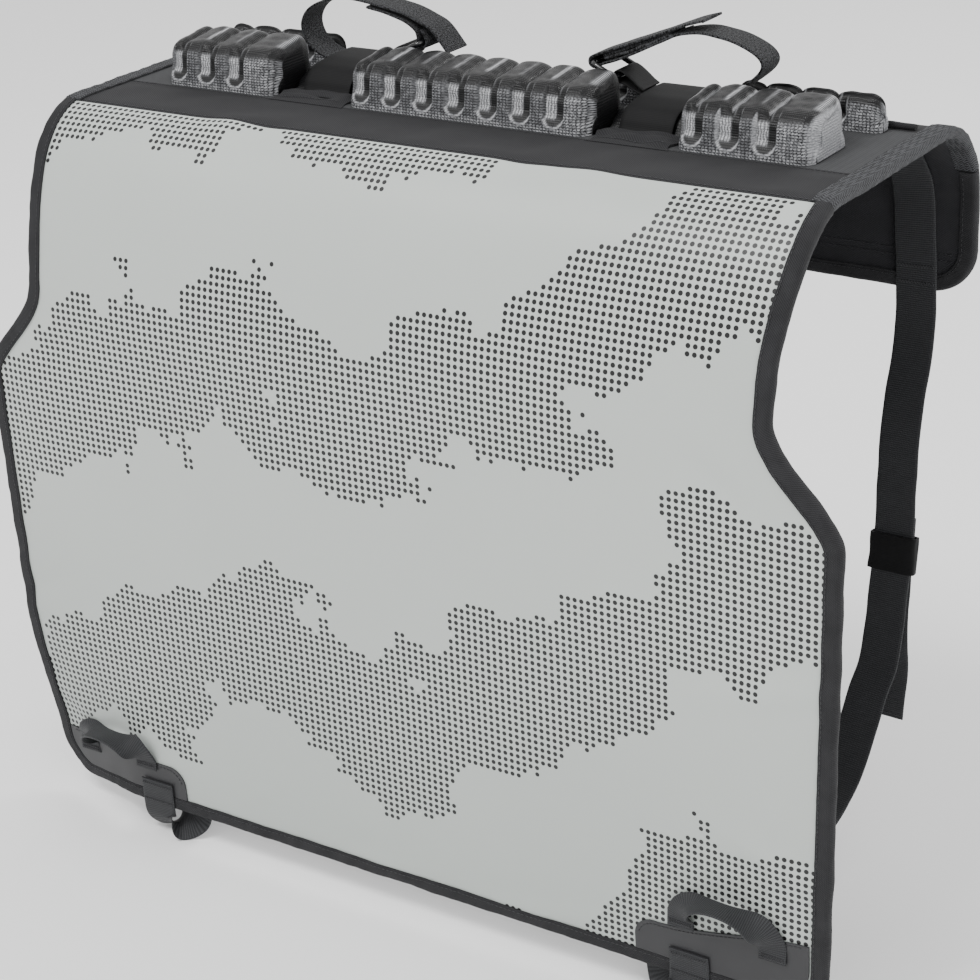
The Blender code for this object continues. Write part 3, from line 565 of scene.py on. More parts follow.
def slab(name: str, outer: np.ndarray, inner: np.ndarray, cloth: np.ndarray,
         material: bpy.types.Material) -> bpy.types.Object:
    """Join two grids of points into one closed sheet with a thickness.

    Args:
        name: Name of the piece.
        outer: Grid of the outer side, rows by columns by 3.
        inner: Grid of the inner side.
        cloth: Grid of places on the flat cloth.
        material: Finish.

    Returns:
        The new object.
    """
    rows, columns = outer.shape[:2]
    number = np.arange(rows * columns).reshape(rows, columns)
    quads = np.stack([number[:-1, :-1], number[:-1, 1:], number[1:, 1:], number[1:, :-1]], -1)
    top = quads.reshape(-1, 4)
    under = top[:, ::-1] + rows * columns
    rim = np.concatenate([number[0, :-1], number[:-1, -1], number[-1, :0:-1], number[:0:-1, 0]])
    ahead = np.roll(rim, -1)
    lower = rows * columns
    wall = np.stack([rim, rim + lower, ahead + lower, ahead], -1)
    points = np.concatenate([outer.reshape(-1, 3), inner.reshape(-1, 3)])
    places = np.concatenate([cloth.reshape(-1, 2)] * 2)
    faces = np.concatenate([top[:, ::-1], under[:, ::-1], wall[:, ::-1]])
    return piece(name, points, faces, places, material, 60.0)


def sweep(name: str, rings: np.ndarray, cloth: np.ndarray, material: bpy.types.Material,
          closed: bool = False, angle: float = 50.0) -> bpy.types.Object:
    """Join equal loops of points into one closed body, capped at open ends.

    Args:
        name: Name of the piece.
        rings: Loops of points, loops by points by 3.
        cloth: Places on the flat cloth, loops by points by 2.
        material: Finish.
        closed: True where the last loop meets the first.
        angle: Edges sharper than this stay hard, in degrees.

    Returns:
        The new object.
    """
    count, around = rings.shape[:2]
    number = np.arange(count * around).reshape(count, around)
    ahead = np.roll(number, -1, axis=0) if closed else number[1:]
    start = number if closed else number[:-1]
    quads = np.stack([start, np.roll(start, -1, 1), np.roll(ahead, -1, 1), ahead], -1)
    faces = quads.reshape(-1, 4).tolist()
    if not closed:
        faces.append(number[0, ::-1].tolist())
        faces.append(number[-1].tolist())
    return piece(name, rings.reshape(-1, 3), faces, cloth.reshape(-1, 2), material, angle)


def curve_through(points: Sequence[Sequence[float]], step: float) -> np.ndarray:
    """Read an even smooth curve through the given points.

    Args:
        points: Points of the route.
        step: Distance between two points of the result, in metres.

    Returns:
        Points of the curve, one row each.
    """
    ends = np.array(points, float)
    ends = np.vstack([2 * ends[0] - ends[1], ends, 2 * ends[-1] - ends[-2]])
    dense = []
    for a, b, c, d in zip(ends, ends[1:], ends[2:], ends[3:]):
        for t in np.linspace(0, 1, 24, endpoint=False):
            dense.append(0.5 * ((2 * b) + (c - a) * t + (2 * a - 5 * b + 4 * c - d) * t * t
                                + (3 * b - a - 3 * c + d) * t ** 3))
    dense.append(ends[-2])
    line = np.array(dense)
    lengths = distances(line)
    count = max(int(lengths[-1] / step), 8)
    return read_along(np.linspace(0, lengths[-1], count + 1), lengths, line)


@dataclass
class Strap:
    """A flat strap or tape with rounded edges, swept along a route."""

    name: str
    route: Sequence[Sequence[float]]
    width: float
    thickness: float
    material: bpy.types.Material
    slot: str
    across: Sequence[float] | np.ndarray = (1.0, 0.0, 0.0)
    step: float = 1.5 * MM
    wobble: float = 0.25 * MM
    edge: float = 0.9
    seed: int = 1
    line: np.ndarray = field(init=False)
    side: np.ndarray = field(init=False)
    normal: np.ndarray = field(init=False)
    length: np.ndarray = field(init=False)

    def __post_init__(self) -> None:
        """Work out the strap's line, its width direction and its face at each point."""
        self.line = curve_through(self.route, self.step)
        count = len(self.line)
        tangent = np.gradient(self.line, axis=0)
        tangent /= np.linalg.norm(tangent, axis=1, keepdims=True)
        across = np.array(self.across, float)
        if across.ndim == 2:
            share = np.linspace(0, len(across) - 1, count)
            across = read_along(share, np.arange(len(across)), across)
        else:
            across = np.tile(across, (count, 1))
        across = across - tangent * (across * tangent).sum(1, keepdims=True)
        self.side = across / np.linalg.norm(across, axis=1, keepdims=True)
        self.normal = np.cross(self.side, tangent)
        self.length = distances(self.line)

    def section(self) -> np.ndarray:
        """Outline of the strap's section: across and through, with soft edges."""
        half = self.width / 2
        deep = self.thickness / 2
        turn = np.radians(np.array([-68, -34, 0, 34, 68]))
        right = np.stack([half - deep * self.edge * (1 - np.cos(turn)), deep * np.sin(turn)], -1)
        flat = np.array([0.82, 0.4, 0.0, -0.4, -0.82]) * half
        top = np.stack([flat, np.full(5, deep)], -1)
        left = np.stack([-right[::-1, 0], right[::-1, 1]], -1)
        under = np.stack([flat[::-1], np.full(5, -deep)], -1)
        return np.concatenate([right, top, left, under])

    def build(self) -> bpy.types.Object:
        """Make the strap."""
        outline = self.section()
        drift = waves(self.length, self.length * 0, 0.045, self.seed) * self.wobble
        ripple = waves(self.length, self.length * 0, 0.020, self.seed + 9) * self.wobble * 0.5
        middle = self.line + self.side * drift[:, None] + self.normal * ripple[:, None]
        rings = (middle[:, None] + self.side[:, None] * outline[None, :, :1]
                 + self.normal[:, None] * outline[None, :, 1:])
        cloth = together(outline[None, :, 0], self.length[:, None])
        return sweep(self.name, rings, cloth, self.material)

    def place(self, at: float, across: float, lift: float) -> np.ndarray:
        """Find a point on the strap's face.

        Args:
            at: Distance along the strap, in metres; negative counts from its end.
            across: Distance from the middle line.
            lift: Height above the face; negative counts from the other face.

        Returns:
            The point.
        """
        at = at if at >= 0 else self.length[-1] + at
        index = int(np.clip(np.searchsorted(self.length, at), 0, len(self.length) - 1))
        out = math.copysign(self.thickness / 2 + abs(lift), lift)
        return self.line[index] + self.side[index] * across + self.normal[index] * out


@dataclass
class Stitching:
    """Rows of stitches on one group of pieces, gathered into one mesh."""

    name: str
    material: bpy.types.Material
    slot: str
    starts: list[np.ndarray] = field(default_factory=list)
    ends: list[np.ndarray] = field(default_factory=list)
    radius: float = 0.33 * MM

    def row(self, path: np.ndarray, pitch: float = 4.0 * MM, share: float = 0.72) -> None:
        """Sew an even row of stitches.

        Args:
            path: Points of the seam, one row each.
            pitch: Distance from one stitch to the next, in metres.
            share: Part of the pitch that the thread covers.
        """
        length = distances(path)
        number = np.arange(max(int(length[-1] / pitch), 1))
        self.starts.extend(read_along(number * pitch, length, path))
        self.ends.extend(read_along((number + share) * pitch, length, path))

    def tack(self, corner: np.ndarray, side: np.ndarray, down: np.ndarray, count: int) -> None:
        """Sew a dense zigzag bar.

        Args:
            corner: First corner of the bar.
            side: Step from one end of the bar to the other.
            down: Height of the zigzag.
            count: Number of zigzags.
        """
        for number in range(count):
            low = corner + side * (number / count)
            high = corner + side * ((number + 0.5) / count) + down
            following = corner + side * ((number + 1) / count)
            self.starts += [low, high]
            self.ends += [high, following]

    def across(self, strap: Strap, at: float, half: float, lift: float, pitch: float,
               count: int = 26) -> None:
        """Sew a row across a strap.

        Args:
            strap: Strap that is sewn.
            at: Distance along the strap, in metres; negative counts from its end.
            half: Half of the row's width.
            lift: Height above the face; negative counts from the other face.
            pitch: Distance from one stitch to the next.
            count: Number of points that the row follows.
        """
        places = np.linspace(-half, half, count)
        self.row(np.array([strap.place(at, place, lift) for place in places]), pitch)

    def bar(self, strap: Strap, at: float, half: float, lift: float, rise: float,
            count: int) -> None:
        """Sew a dense zigzag bar across a strap.

        Args:
            strap: Strap that is sewn.
            at: Distance along the strap, in metres; negative counts from its end.
            half: Half of the bar's width.
            lift: Height above the face; negative counts from the other face.
            rise: Height of the zigzag.
            count: Number of zigzags.
        """
        corner = strap.place(at, -half, lift)
        other = strap.place(at, half, lift)
        self.tack(corner, other - corner, np.array([0, 0, rise]), count)

    def build(self) -> bpy.types.Object:
        """Make the stitches as small rounded threads."""
        starts = np.array(self.starts)
        ends = np.array(self.ends)
        along = ends - starts
        reach = np.linalg.norm(along, axis=1, keepdims=True)
        along = along / reach
        spare = np.where(np.abs(along[:, 2:]) < 0.9, np.array([[0, 0, 1.0]]), np.array([[1.0, 0, 0]]))
        first = np.cross(along, spare)
        first /= np.linalg.norm(first, axis=1, keepdims=True)
        second = np.cross(along, first)
        shares = np.array([0.0, 0.18, 0.5, 0.82, 1.0])
        sizes = np.array([0.35, 0.85, 1.0, 0.85, 0.35]) * self.radius
        turn = np.linspace(0, 2 * math.pi, 6, endpoint=False)
        centre = starts[:, None] + (ends - starts)[:, None] * shares[None, :, None]
        round_ = (first[:, None, None] * np.cos(turn)[None, None, :, None]
                  + second[:, None, None] * np.sin(turn)[None, None, :, None])
        points = centre[:, :, None] + round_ * sizes[None, :, None, None]
        count = len(starts)
        base = np.arange(30).reshape(5, 6)
        quads = np.stack([base[:-1], np.roll(base[:-1], -1, 1), np.roll(base[1:], -1, 1),
                          base[1:]], -1).reshape(-1, 4)
        faces = (quads[None] + np.arange(count)[:, None, None] * 30).reshape(-1, 4).tolist()
        for number in range(count):
            faces.append((base[0, ::-1] + number * 30).tolist())
            faces.append((base[-1] + number * 30).tolist())
        flat = points.reshape(-1, 3)
        return piece(self.name, flat, faces, flat[:, :2], self.material, 80.0)


def tag(shown: bpy.types.Object, name: str, values: np.ndarray) -> None:
    """Store one number per vertex, for the material to read.

    Args:
        shown: Piece that carries the numbers.
        name: Name that the material asks for.
        values: One number for each vertex.
    """
    layer = shown.data.attributes.new(name, "FLOAT", "POINT")
    layer.data.foreach_set("value", values.astype(np.float32))


@dataclass(frozen=True)
class Crease:
    """A soft dent or fold in the sheet: place, direction, reach and depth."""

    x: float
    run: float
    turn: float
    length: float
    width: float
    depth: float

    def height(self, x: np.ndarray, run: np.ndarray) -> np.ndarray:
        """Height of the fold at each place; a dent is negative."""
        along = (x - self.x) * math.cos(self.turn) + (run - self.run) * math.sin(self.turn)
        beside = (run - self.run) * math.cos(self.turn) - (x - self.x) * math.sin(self.turn)
        return self.depth * np.exp(-(along / self.length) ** 2 - (beside / self.width) ** 2)


@dataclass
class SheetShape:
    """Curve and outline of the folded sheet, by X and the length along the sheet.

    The length is zero where the flat top starts, negative towards the outer panel's lower
    edge and positive towards the rear flap's lower edge.
    """

    panel_width: float = 0.688
    panel_width_low: float = 0.674
    waist_width: float = 0.591
    top_width: float = 0.606
    panel_drop: float = 0.530
    front_y: float = -0.148
    sheet_depth: float = 0.298
    front_reach: float = 0.078
    front_fall: float = 0.150
    rear_radius: float = 0.063
    flap_drop: float = 0.131
    panel_corner: float = 0.035
    flap_corner: float = 0.033
    waist_depth: float = 0.095
    shoulder_start: float = 0.118
    shoulder_end: float = 0.200
    thickness: float = 0.0065
    fabric: float = 0.0012
    gap: float = 0.0003
    edge_in_binding: float = 0.0024
    binding_cloth: float = 1.3 * MM
    seam_front_y: float = -0.079
    seam_band_y: float = -0.020
    seam_rear_y: float = 0.079
    puff: float = 1.3 * MM
    curl_back: float = 0.020
    curl_drop: float = 0.40
    creases: tuple[Crease, ...] = (
        Crease(0.305, -0.330, 0.25, 0.050, 0.009, 1.6 * MM),
        Crease(0.300, -0.455, -0.35, 0.045, 0.008, 1.4 * MM),
        Crease(-0.318, -0.395, 0.55, 0.030, 0.008, -1.5 * MM),
        Crease(-0.310, -0.492, -0.50, 0.035, 0.009, 1.4 * MM),
        Crease(0.120, -0.548, 0.20, 0.045, 0.008, 1.3 * MM),
        Crease(-0.020, -0.552, -0.15, 0.040, 0.007, 1.0 * MM),
        Crease(0.262, -0.200, -0.70, 0.040, 0.010, -1.3 * MM),
        Crease(-0.262, -0.190, 0.60, 0.045, 0.010, -1.3 * MM),
        Crease(-0.150, -0.014, 0.10, 0.016, 0.012, 2.2 * MM),
        Crease(-0.118, -0.018, -0.10, 0.012, 0.010, -1.4 * MM),
        Crease(0.140, -0.016, -0.10, 0.018, 0.012, 1.9 * MM),
        Crease(0.085, -0.014, 0.10, 0.014, 0.010, -1.2 * MM),
    )

    def __post_init__(self) -> None:
        """Lay out the curve as a table of length, Y, Z and outward normal."""
        core_end = self.thickness - self.fabric - self.gap
        self.outer_cloth = (0.0, self.fabric)
        self.core = (self.fabric + self.gap, core_end)
        self.inner_cloth = (core_end + self.gap, self.thickness)
        self.flat_start = self.front_y + self.front_reach
        self.flat_end = self.front_y + self.sheet_depth - self.rear_radius
        self.flat_length = self.flat_end - self.flat_start
        self.rear_arc = self.rear_radius * math.pi / 2
        top = self.thickness
        angle = np.linspace(0, math.pi / 2, 97)
        y = self.flat_start - self.front_reach * np.sin(angle)
        z = top - self.front_fall * (1 - np.cos(angle))
        length = np.concatenate([[0], np.cumsum(np.hypot(np.diff(y), np.diff(z)))])
        ny = -np.sin(angle) / self.front_reach
        nz = np.cos(angle) / self.front_fall
        size = np.hypot(ny, nz)
        self.front_arc = float(length[-1])
        self.panel_end = -(self.front_arc + self.panel_drop - self.front_fall)
        self.flap_end = self.flat_length + self.rear_arc + self.flap_drop - self.rear_radius
        self.panel_bottom = top - self.panel_drop
        low = np.array([[self.panel_end - 0.05, self.front_y, self.panel_bottom - 0.05, -1, 0]])
        front = np.stack([-length, y, z, ny / size, nz / size], -1)[::-1]
        turn = np.linspace(0, math.pi / 2, 61)
        rear = np.stack([self.flat_length + self.rear_radius * turn,
                         self.flat_end + self.rear_radius * np.sin(turn),
                         top - self.rear_radius * (1 - np.cos(turn)),
                         np.sin(turn), np.cos(turn)], -1)
        end = rear[-1] + np.array([0.15, 0, -0.15, 0, 0])
        self.table = np.vstack([low, front, rear, end[None]])

    def skin(self, run: np.ndarray) -> list[np.ndarray]:
        """Give Y, Z and the outward normal of the outer skin at each length."""
        return [np.interp(run, self.table[:, 0], self.table[:, k]) for k in range(1, 5)]

    def run_at_y(self, y: float) -> float:
        """Length along the sheet of a place on the flat top."""
        return y - self.flat_start

    def run_at_z(self, z: float) -> float:
        """Length along the sheet of a place on the outer side, by its height."""
        front = self.table[self.table[:, 0] <= 0]
        return float(np.interp(z, front[:, 2], front[:, 0]))

    def free_half_width(self, run: np.ndarray) -> np.ndarray:
        """Half width of the outline at each length, without its rounded corners."""
        below = self.thickness - self.skin(run)[1]
        waist = (self.waist_width - self.top_width) / 2 * ease(below / self.waist_depth)
        upper = self.top_width / 2 + waist
        taper = (below - self.shoulder_end) / (self.panel_drop - self.shoulder_end)
        lower = (self.panel_width + (self.panel_width_low - self.panel_width) * np.clip(
            taper, 0, 1)) / 2
        step = ease((below - self.shoulder_start) / (self.shoulder_end - 0.006
                                                     - self.shoulder_start))
        panel = upper + (lower - upper) * step
        return np.where(run > 0, self.top_width / 2, panel)

    def slope(self, run: np.ndarray, probe: float) -> np.ndarray:
        """Change of the half width with the length, between two places a probe away."""
        return (self.free_half_width(run + probe) - self.free_half_width(run - probe)) / (
            2 * probe)

    def before_binding(self, cloth: float) -> float:
        """Y of the middle of a cloth that lies in front of the bound outer panel."""
        return self.front_y - self.binding_cloth - 2 * self.gap - cloth / 2

    def half_width(self, run: np.ndarray, inset: float) -> np.ndarray:
        """Half width at each length, moved inwards along the outline's normal by the inset."""
        slope = self.slope(run, 0.001)
        width = self.free_half_width(run) - inset * np.sqrt(1 + slope * slope)
        ends = ((self.panel_end, self.panel_corner, 1), (self.flap_end, self.flap_corner, -1))
        for end, radius, sign in ends:
            centre = end + sign * radius
            away = (centre - run) * sign
            reach = radius - inset
            flat = float(self.free_half_width(np.array([centre]))[0]) - radius
            rounded = flat + np.sqrt(np.maximum(reach * reach - away * away, 0.0))
            width = np.where(away > 0, rounded, width)
        return width

    def relief(self, x: np.ndarray, run: np.ndarray) -> np.ndarray:
        """Height of the padding's swell, folds and puckers above the plain skin."""
        side = self.half_width(run, 0.0) - np.abs(x)
        edge = np.minimum(side, np.minimum(run - self.panel_end, self.flap_end - run))
        edge = np.maximum(edge, 0.0)
        seam = self.run_at_y(self.seam_front_y)
        band = self.run_at_y(self.seam_band_y)
        rear = self.run_at_y(self.seam_rear_y)
        on_panel = ease((seam - run) / 0.05)
        on_flap = ease((run - rear - 0.02) / 0.04)
        swell = self.puff * ease(edge / 0.045) * (on_panel + 0.8 * on_flap)
        wide = 0.45 * MM * waves(x, run, 0.16, 3) * ease(edge / 0.04) * (on_panel + on_flap)
        pucker = 0.42 * MM * waves(x, run, 0.030, 5) * np.exp(-edge / 0.018)
        pucker = pucker * (on_panel + on_flap)
        window = ease((run - seam) / 0.012) * ease((band - 0.004 - run) / 0.014)
        bulge = window * (0.55 * MM * waves(x, run, 0.05, 8) + 0.5 * MM)
        folds = sum(crease.height(x, run) for crease in self.creases)
        return swell + wide + pucker + bulge + folds * ease((band - 0.004 - run) / 0.016)

    def point(self, x: np.ndarray | float, run: np.ndarray | float,
              depth: np.ndarray | float) -> np.ndarray:
        """Place points by X, length along the sheet and depth below the skin."""
        x, run, depth = np.broadcast_arrays(*(np.asarray(v, float) for v in (x, run, depth)))
        y, z, ny, nz = self.skin(run)
        sunk = depth - self.relief(x, run)
        curl = self.curl(x, z)
        return np.stack([x, y - ny * sunk + curl, z - nz * sunk - self.curl_drop * curl], -1)

    def curl(self, x: np.ndarray | float, z: np.ndarray | float) -> np.ndarray | float:
        """Distance that the outer panel's lower left corner bends back."""
        low = ease((self.panel_bottom + 0.15 - z) / 0.14)
        return self.curl_back * ease((-x - 0.225) / 0.115) * low

    def rows(self, start: float, end: float, inset: float, step: float = 0.005) -> np.ndarray:
        """Lengths of a layer's rows between two places, closer in the rounded corners."""
        plain = np.linspace(start, end, max(int((end - start) / step), 2) + 1)
        runs = [plain]
        for edge, radius, sign in ((self.panel_end, self.panel_corner, 1),
                                   (self.flap_end, self.flap_corner, -1)):
            centre = edge + sign * radius
            if (start - centre) * (end - centre) < 0:
                keep = (runs[0] - centre) * sign > 0.001
                turn = np.linspace(0, math.pi / 2, 11)
                runs = [runs[0][keep], centre - sign * (radius - inset) * np.sin(turn)]
        return np.unique(np.round(np.concatenate(runs), 7))


@dataclass
class Layer:
    """One cloth or foam layer of the sheet, between two lengths and two depths."""

    name: str
    start: float
    end: float
    outer: float
    inner: float
    inset: float
    slot: str
    step: float = 0.005
    beside_band_until: float = -math.inf
    band_inset: float = 0.0153

    def insets(self, runs: np.ndarray) -> np.ndarray:
        """Distance from the outline at each row: more where a side band lies beside it."""
        return np.where(runs <= self.beside_band_until, self.band_inset, self.inset)

    def build(self, shape: SheetShape, material: bpy.types.Material) -> bpy.types.Object:
        """Make the layer in the place of its solid.

        Args:
            shape: Curve and outline of the sheet.
            material: Finish.

        Returns:
            The new piece.
        """
        runs = shape.rows(self.start, self.end, self.inset, self.step)
        half = shape.half_width(runs, self.insets(runs))
        columns = int(2 * half.max() / self.step)
        x = half[:, None] * np.linspace(-1, 1, columns + 1)[None]
        run = np.broadcast_to(runs[:, None], x.shape)
        shown = slab("shown_" + self.name, shape.point(x, run, self.outer),
                     shape.point(x, run, self.inner), np.stack([x, run], -1), material)
        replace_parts(shown, self.name)
        return shown

    def declare_sheet(self, shape: SheetShape, shown: bpy.types.Object, on: str) -> None:
        """Do nothing: the layer is not declared as cloth over another piece."""


def lay(shape: SheetShape, foam: bpy.types.Material, core: Layer,
        cloths: Sequence[tuple[Layer, bpy.types.Material]]) -> None:
    """Lay a foam core and stretch its cloths over it.

    Args:
        shape: Curve and outline of the sheet.
        foam: Finish of the core.
        core: Foam layer.
        cloths: Cloth layers with their finishes.
    """
    filling = core.build(shape, foam)
    for layer, finish in cloths:
        layer.declare_sheet(shape, layer.build(shape, finish), filling.name)


@dataclass
class Binding:
    """A tape folded round the sheet's edge, with its row of stitches."""

    OUTSIDE: ClassVar[int] = 19
    name: str
    width: float
    cloth: float
    slot: str
    stack: float = 0.0065
    gap: float = 0.0003
    ribs: float = 0.0
    rib_pitch: float = 2.6 * MM
    stitch_inset: float = 2.0 * MM
    flush: bool = False

    def lower(self) -> float:
        """Depth of the face of the tape's inner side."""
        return self.stack if self.flush else self.stack + self.cloth + self.gap

    def profile(self) -> np.ndarray:
        """Section of the folded tape: distance in from the edge, and depth below the skin.

        The first OUTSIDE points lie on the tape's outer side, and the rest inside the fold.
        """
        outer = -(self.cloth + self.gap)
        lower = self.lower()
        middle = (outer + lower) / 2
        reach = (lower - outer) / 2
        turn = np.linspace(-math.pi / 2, math.pi / 2, 9)
        nose = min(reach * 0.62, 0.0032)
        away = np.stack([nose * (1 - np.cos(turn)), middle + reach * np.sin(turn)], -1)
        within = away.copy()
        within[:, 0] = self.cloth + (nose - 0.0004) * (1 - np.cos(turn))
        within[:, 1] = middle + (reach - self.cloth) * np.sin(turn)
        flat = np.linspace(self.width, nose, 6)[:-1]
        top = np.stack([flat, np.full(5, outer)], -1)
        top[0] += (-0.0003, 0.0003)
        under = np.stack([flat[::-1], np.full(5, lower)], -1)
        inside = np.stack([flat[[0, 2, 4]], np.full(3, lower - self.cloth)], -1)
        inside_top = np.stack([flat[[4, 2, 0]], np.full(3, outer + self.cloth)], -1)
        return np.concatenate([top, away, under, inside, within[::-1], inside_top])

    def build(self, shape: SheetShape, path: np.ndarray, material: bpy.types.Material,
              stitching: Stitching, seed: int) -> bpy.types.Object:
        """Fold the tape along a path.

        Args:
            shape: Curve and outline of the sheet.
            path: Rows of X, length along the sheet, and the inward direction on the cloth.
            material: Finish.
            stitching: Seams that this tape's stitches join.
            seed: Choice of small puckers.

        Returns:
            The new piece.
        """
        section = self.profile()
        count = len(section)
        x = path[:, :1] + path[:, 2:3] * section[None, :, 0]
        run = path[:, 1:2] + path[:, 3:4] * section[None, :, 0]
        length = distances(path[:, :2])
        small = waves(length[:, None], section[None, :, 0] * 0, 0.009, seed) * 0.16 * MM
        wide = waves(length[:, None], section[None, :, 0] * 0, 0.05, seed + 1) * 0.30 * MM
        rib = self.ribs * np.abs(np.sin(math.pi * length[:, None] / self.rib_pitch))
        rib = rib * np.ones((1, count))
        outer_side = (section[:, 1] < self.stack / 2)[None]
        outside = (np.arange(count) < self.OUTSIDE)[None]
        lift = np.where(outer_side, -1.0, 1.0) * (small + rib * outside)
        depth = section[None, :, 1] + lift
        x = x - path[:, 2:3] * wide * np.exp(-section[None, :, 0] / 0.006)
        run = run - path[:, 3:4] * wide * np.exp(-section[None, :, 0] / 0.006)
        rings = shape.point(x, run, depth)
        cloth = together(distances(section)[None], length[:, None])
        shown = sweep("shown_" + self.name, rings, cloth, material)
        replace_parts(shown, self.name)
        inset = self.width - self.stitch_inset
        seam_x = path[:, 0] + path[:, 2] * inset
        seam_run = path[:, 1] + path[:, 3] * inset
        for seam_depth in (-(self.cloth + self.gap + 0.2 * MM),
                           self.lower() - 0.1 * MM * self.flush + 0.2 * MM):
            stitching.row(shape.point(seam_x, seam_run, seam_depth), 3.6 * MM)
        return shown


def edge_path(shape: SheetShape, start: float, end: float, radius: float,
              sign: int, step: float = 0.0022) -> np.ndarray:
    """Path of a bound edge: down the left side, across the end and up the right side.

    Args:
        shape: Curve and outline of the sheet.
        start: Length along the sheet where the binding begins.
        end: Length of the sheet's edge.
        radius: Radius of the two corners.
        sign: 1 at the outer panel's lower edge, -1 at the rear flap's.
        step: Distance between two points of the path.

    Returns:
        Rows of X, length along the sheet, and the inward direction on the cloth.
    """
    centre = end + sign * radius
    runs = np.linspace(start, centre, int(abs(centre - start) / step))
    slope = shape.slope(runs, 0.0005)
    scale = np.sqrt(1 + slope * slope)
    side = np.stack([shape.free_half_width(runs), runs, -1 / scale, slope / scale], -1)
    corner_x = float(shape.free_half_width(np.array([centre]))[0]) - radius
    turn = np.linspace(0, math.pi / 2, int(radius * math.pi / 2 / step))[1:]
    corner = np.stack([corner_x + radius * np.cos(turn), centre - sign * radius * np.sin(turn),
                       -np.cos(turn), sign * np.sin(turn)], -1)
    half = int(corner_x / step)
    flat_x = np.linspace(corner_x, 0, half)[1:]
    flat = np.stack([flat_x, np.full(half - 1, end), np.zeros(half - 1),
                     np.full(half - 1, float(sign))], -1)
    right = np.vstack([side, corner, flat])
    left = right[:-1] * np.array([-1, 1, -1, 1])
    return np.vstack([left, right[::-1]])


@dataclass
class SewnPart:
    """A sub-assembly of the pad, with the shape, the finishes and the seams that all share."""

    shape: SheetShape
    finishes: Finishes
    stitching: Stitching

    def build(self) -> None:
        """Make the pieces of the sub-assembly."""
        raise NotImplementedError


@dataclass
class OuterPanel(SewnPart):
    """Outer panel: printed tarpaulin over foam and lining, bound along sides and hem."""

    binding_width: float = 0.0115

    def build(self) -> None:
        """Make the layers and the binding."""
        shape = self.shape
        inset = shape.edge_in_binding
        start = shape.panel_end + inset
        end = shape.run_at_y(shape.seam_front_y) - shape.gap
        lay(shape, self.finishes.foam,
            Layer("front_foam", start, end, *shape.core, inset, "foam"),
            ((Layer("front_tarpaulin", start, end, *shape.outer_cloth, inset,
                    "printed_tarpaulin"), self.finishes.tarpaulin),
             (Layer("front_lining", start, end, *shape.inner_cloth, inset, "lining"),
              self.finishes.lining)))
        path = edge_path(shape, end, shape.panel_end, shape.panel_corner, 1)
        Binding("front_binding", self.binding_width, shape.binding_cloth, "binding_tape").build(
            shape, path, self.finishes.tape, self.stitching, 21)


@dataclass
class Top(SewnPart):
    """Flat top: twill band, ribbed panel, foam, lining, knitted side bands and piping."""

    side_band_width: float = 0.015
    side_band_cloth: float = 0.0012
    grid_step: float = 0.0035
    piping_radius: float = 0.0022
    piping_reach: float = 0.284

    def build(self) -> None:
        """Make the layers, the side bands and the piping."""
        shape = self.shape
        inset = shape.edge_in_binding
        front = shape.run_at_y(shape.seam_front_y)
        band_end = shape.run_at_y(shape.seam_band_y)
        rear = shape.run_at_y(shape.seam_rear_y) - shape.gap
        grid = self.grid_step
        lay(shape, self.finishes.foam,
            Layer("top_foam", front, rear, *shape.core, inset, "foam", grid),
            ((Layer("top_band", front, band_end - shape.gap, *shape.outer_cloth, inset,
                    "band_twill", grid), self.finishes.twill),
             (Layer("top_panel", band_end, rear, *shape.outer_cloth, inset, "ribbed_knit"),
              self.finishes.ribbed),
             (Layer("top_lining", front, rear, *shape.inner_cloth,
                    self.side_band_width + shape.gap, "lining", grid), self.finishes.lining)))
        half = shape.top_width / 2 - 0.016
        x = np.linspace(-half, half, 300)
        for run in (front + 2.4 * MM, band_end - 2.4 * MM):
            self.stitching.row(shape.point(x, run, -0.25 * MM), 3.8 * MM)
        self.side_bands(front)
        self.piping()

    def side_bands(self, front: float) -> None:
        """Fold the knitted bands round the two ends of the top and down the rear bend."""
        shape = self.shape
        end = shape.flat_length + shape.rear_arc * 0.75
        runs = np.linspace(front, end, int((end - front) / (0.65 * MM)))
        ones = np.ones(len(runs))
        for number, (side, sign) in enumerate(SIDES):
            path = np.stack([sign * shape.top_width / 2 * ones, runs, -sign * ones, 0 * ones], -1)
            band = Binding("side_band_" + side, self.side_band_width, self.side_band_cloth,
                           "ribbed_knit", ribs=0.4 * MM, flush=True)
            path = path if sign < 0 else path[::-1]
            band.build(shape, path, self.finishes.knit, self.stitching, 31 + number)

    def piping(self) -> None:
        """Lay the round piping in the seam in front of the rear flap."""
        shape = self.shape
        x = np.linspace(-self.piping_reach, self.piping_reach, 320)
        turn = np.linspace(0, 2 * math.pi, 14, endpoint=False)
        ripple = 1 + 0.07 * waves(x, x * 0, 0.012, 4)
        y = shape.seam_rear_y + 0.0035 + 0.4 * MM * waves(x, x * 0, 0.06, 6)
        radius = self.piping_radius * ripple
        rings = together(
            x[:, None], y[:, None] + radius[:, None] * np.cos(turn),
            shape.thickness + self.piping_radius + radius[:, None] * np.sin(turn))
        cloth = together(turn[None] * self.piping_radius, x[:, None])
        shown = sweep("shown_rear_piping", rings, cloth, self.finishes.tape)
        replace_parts(shown, "rear_piping")


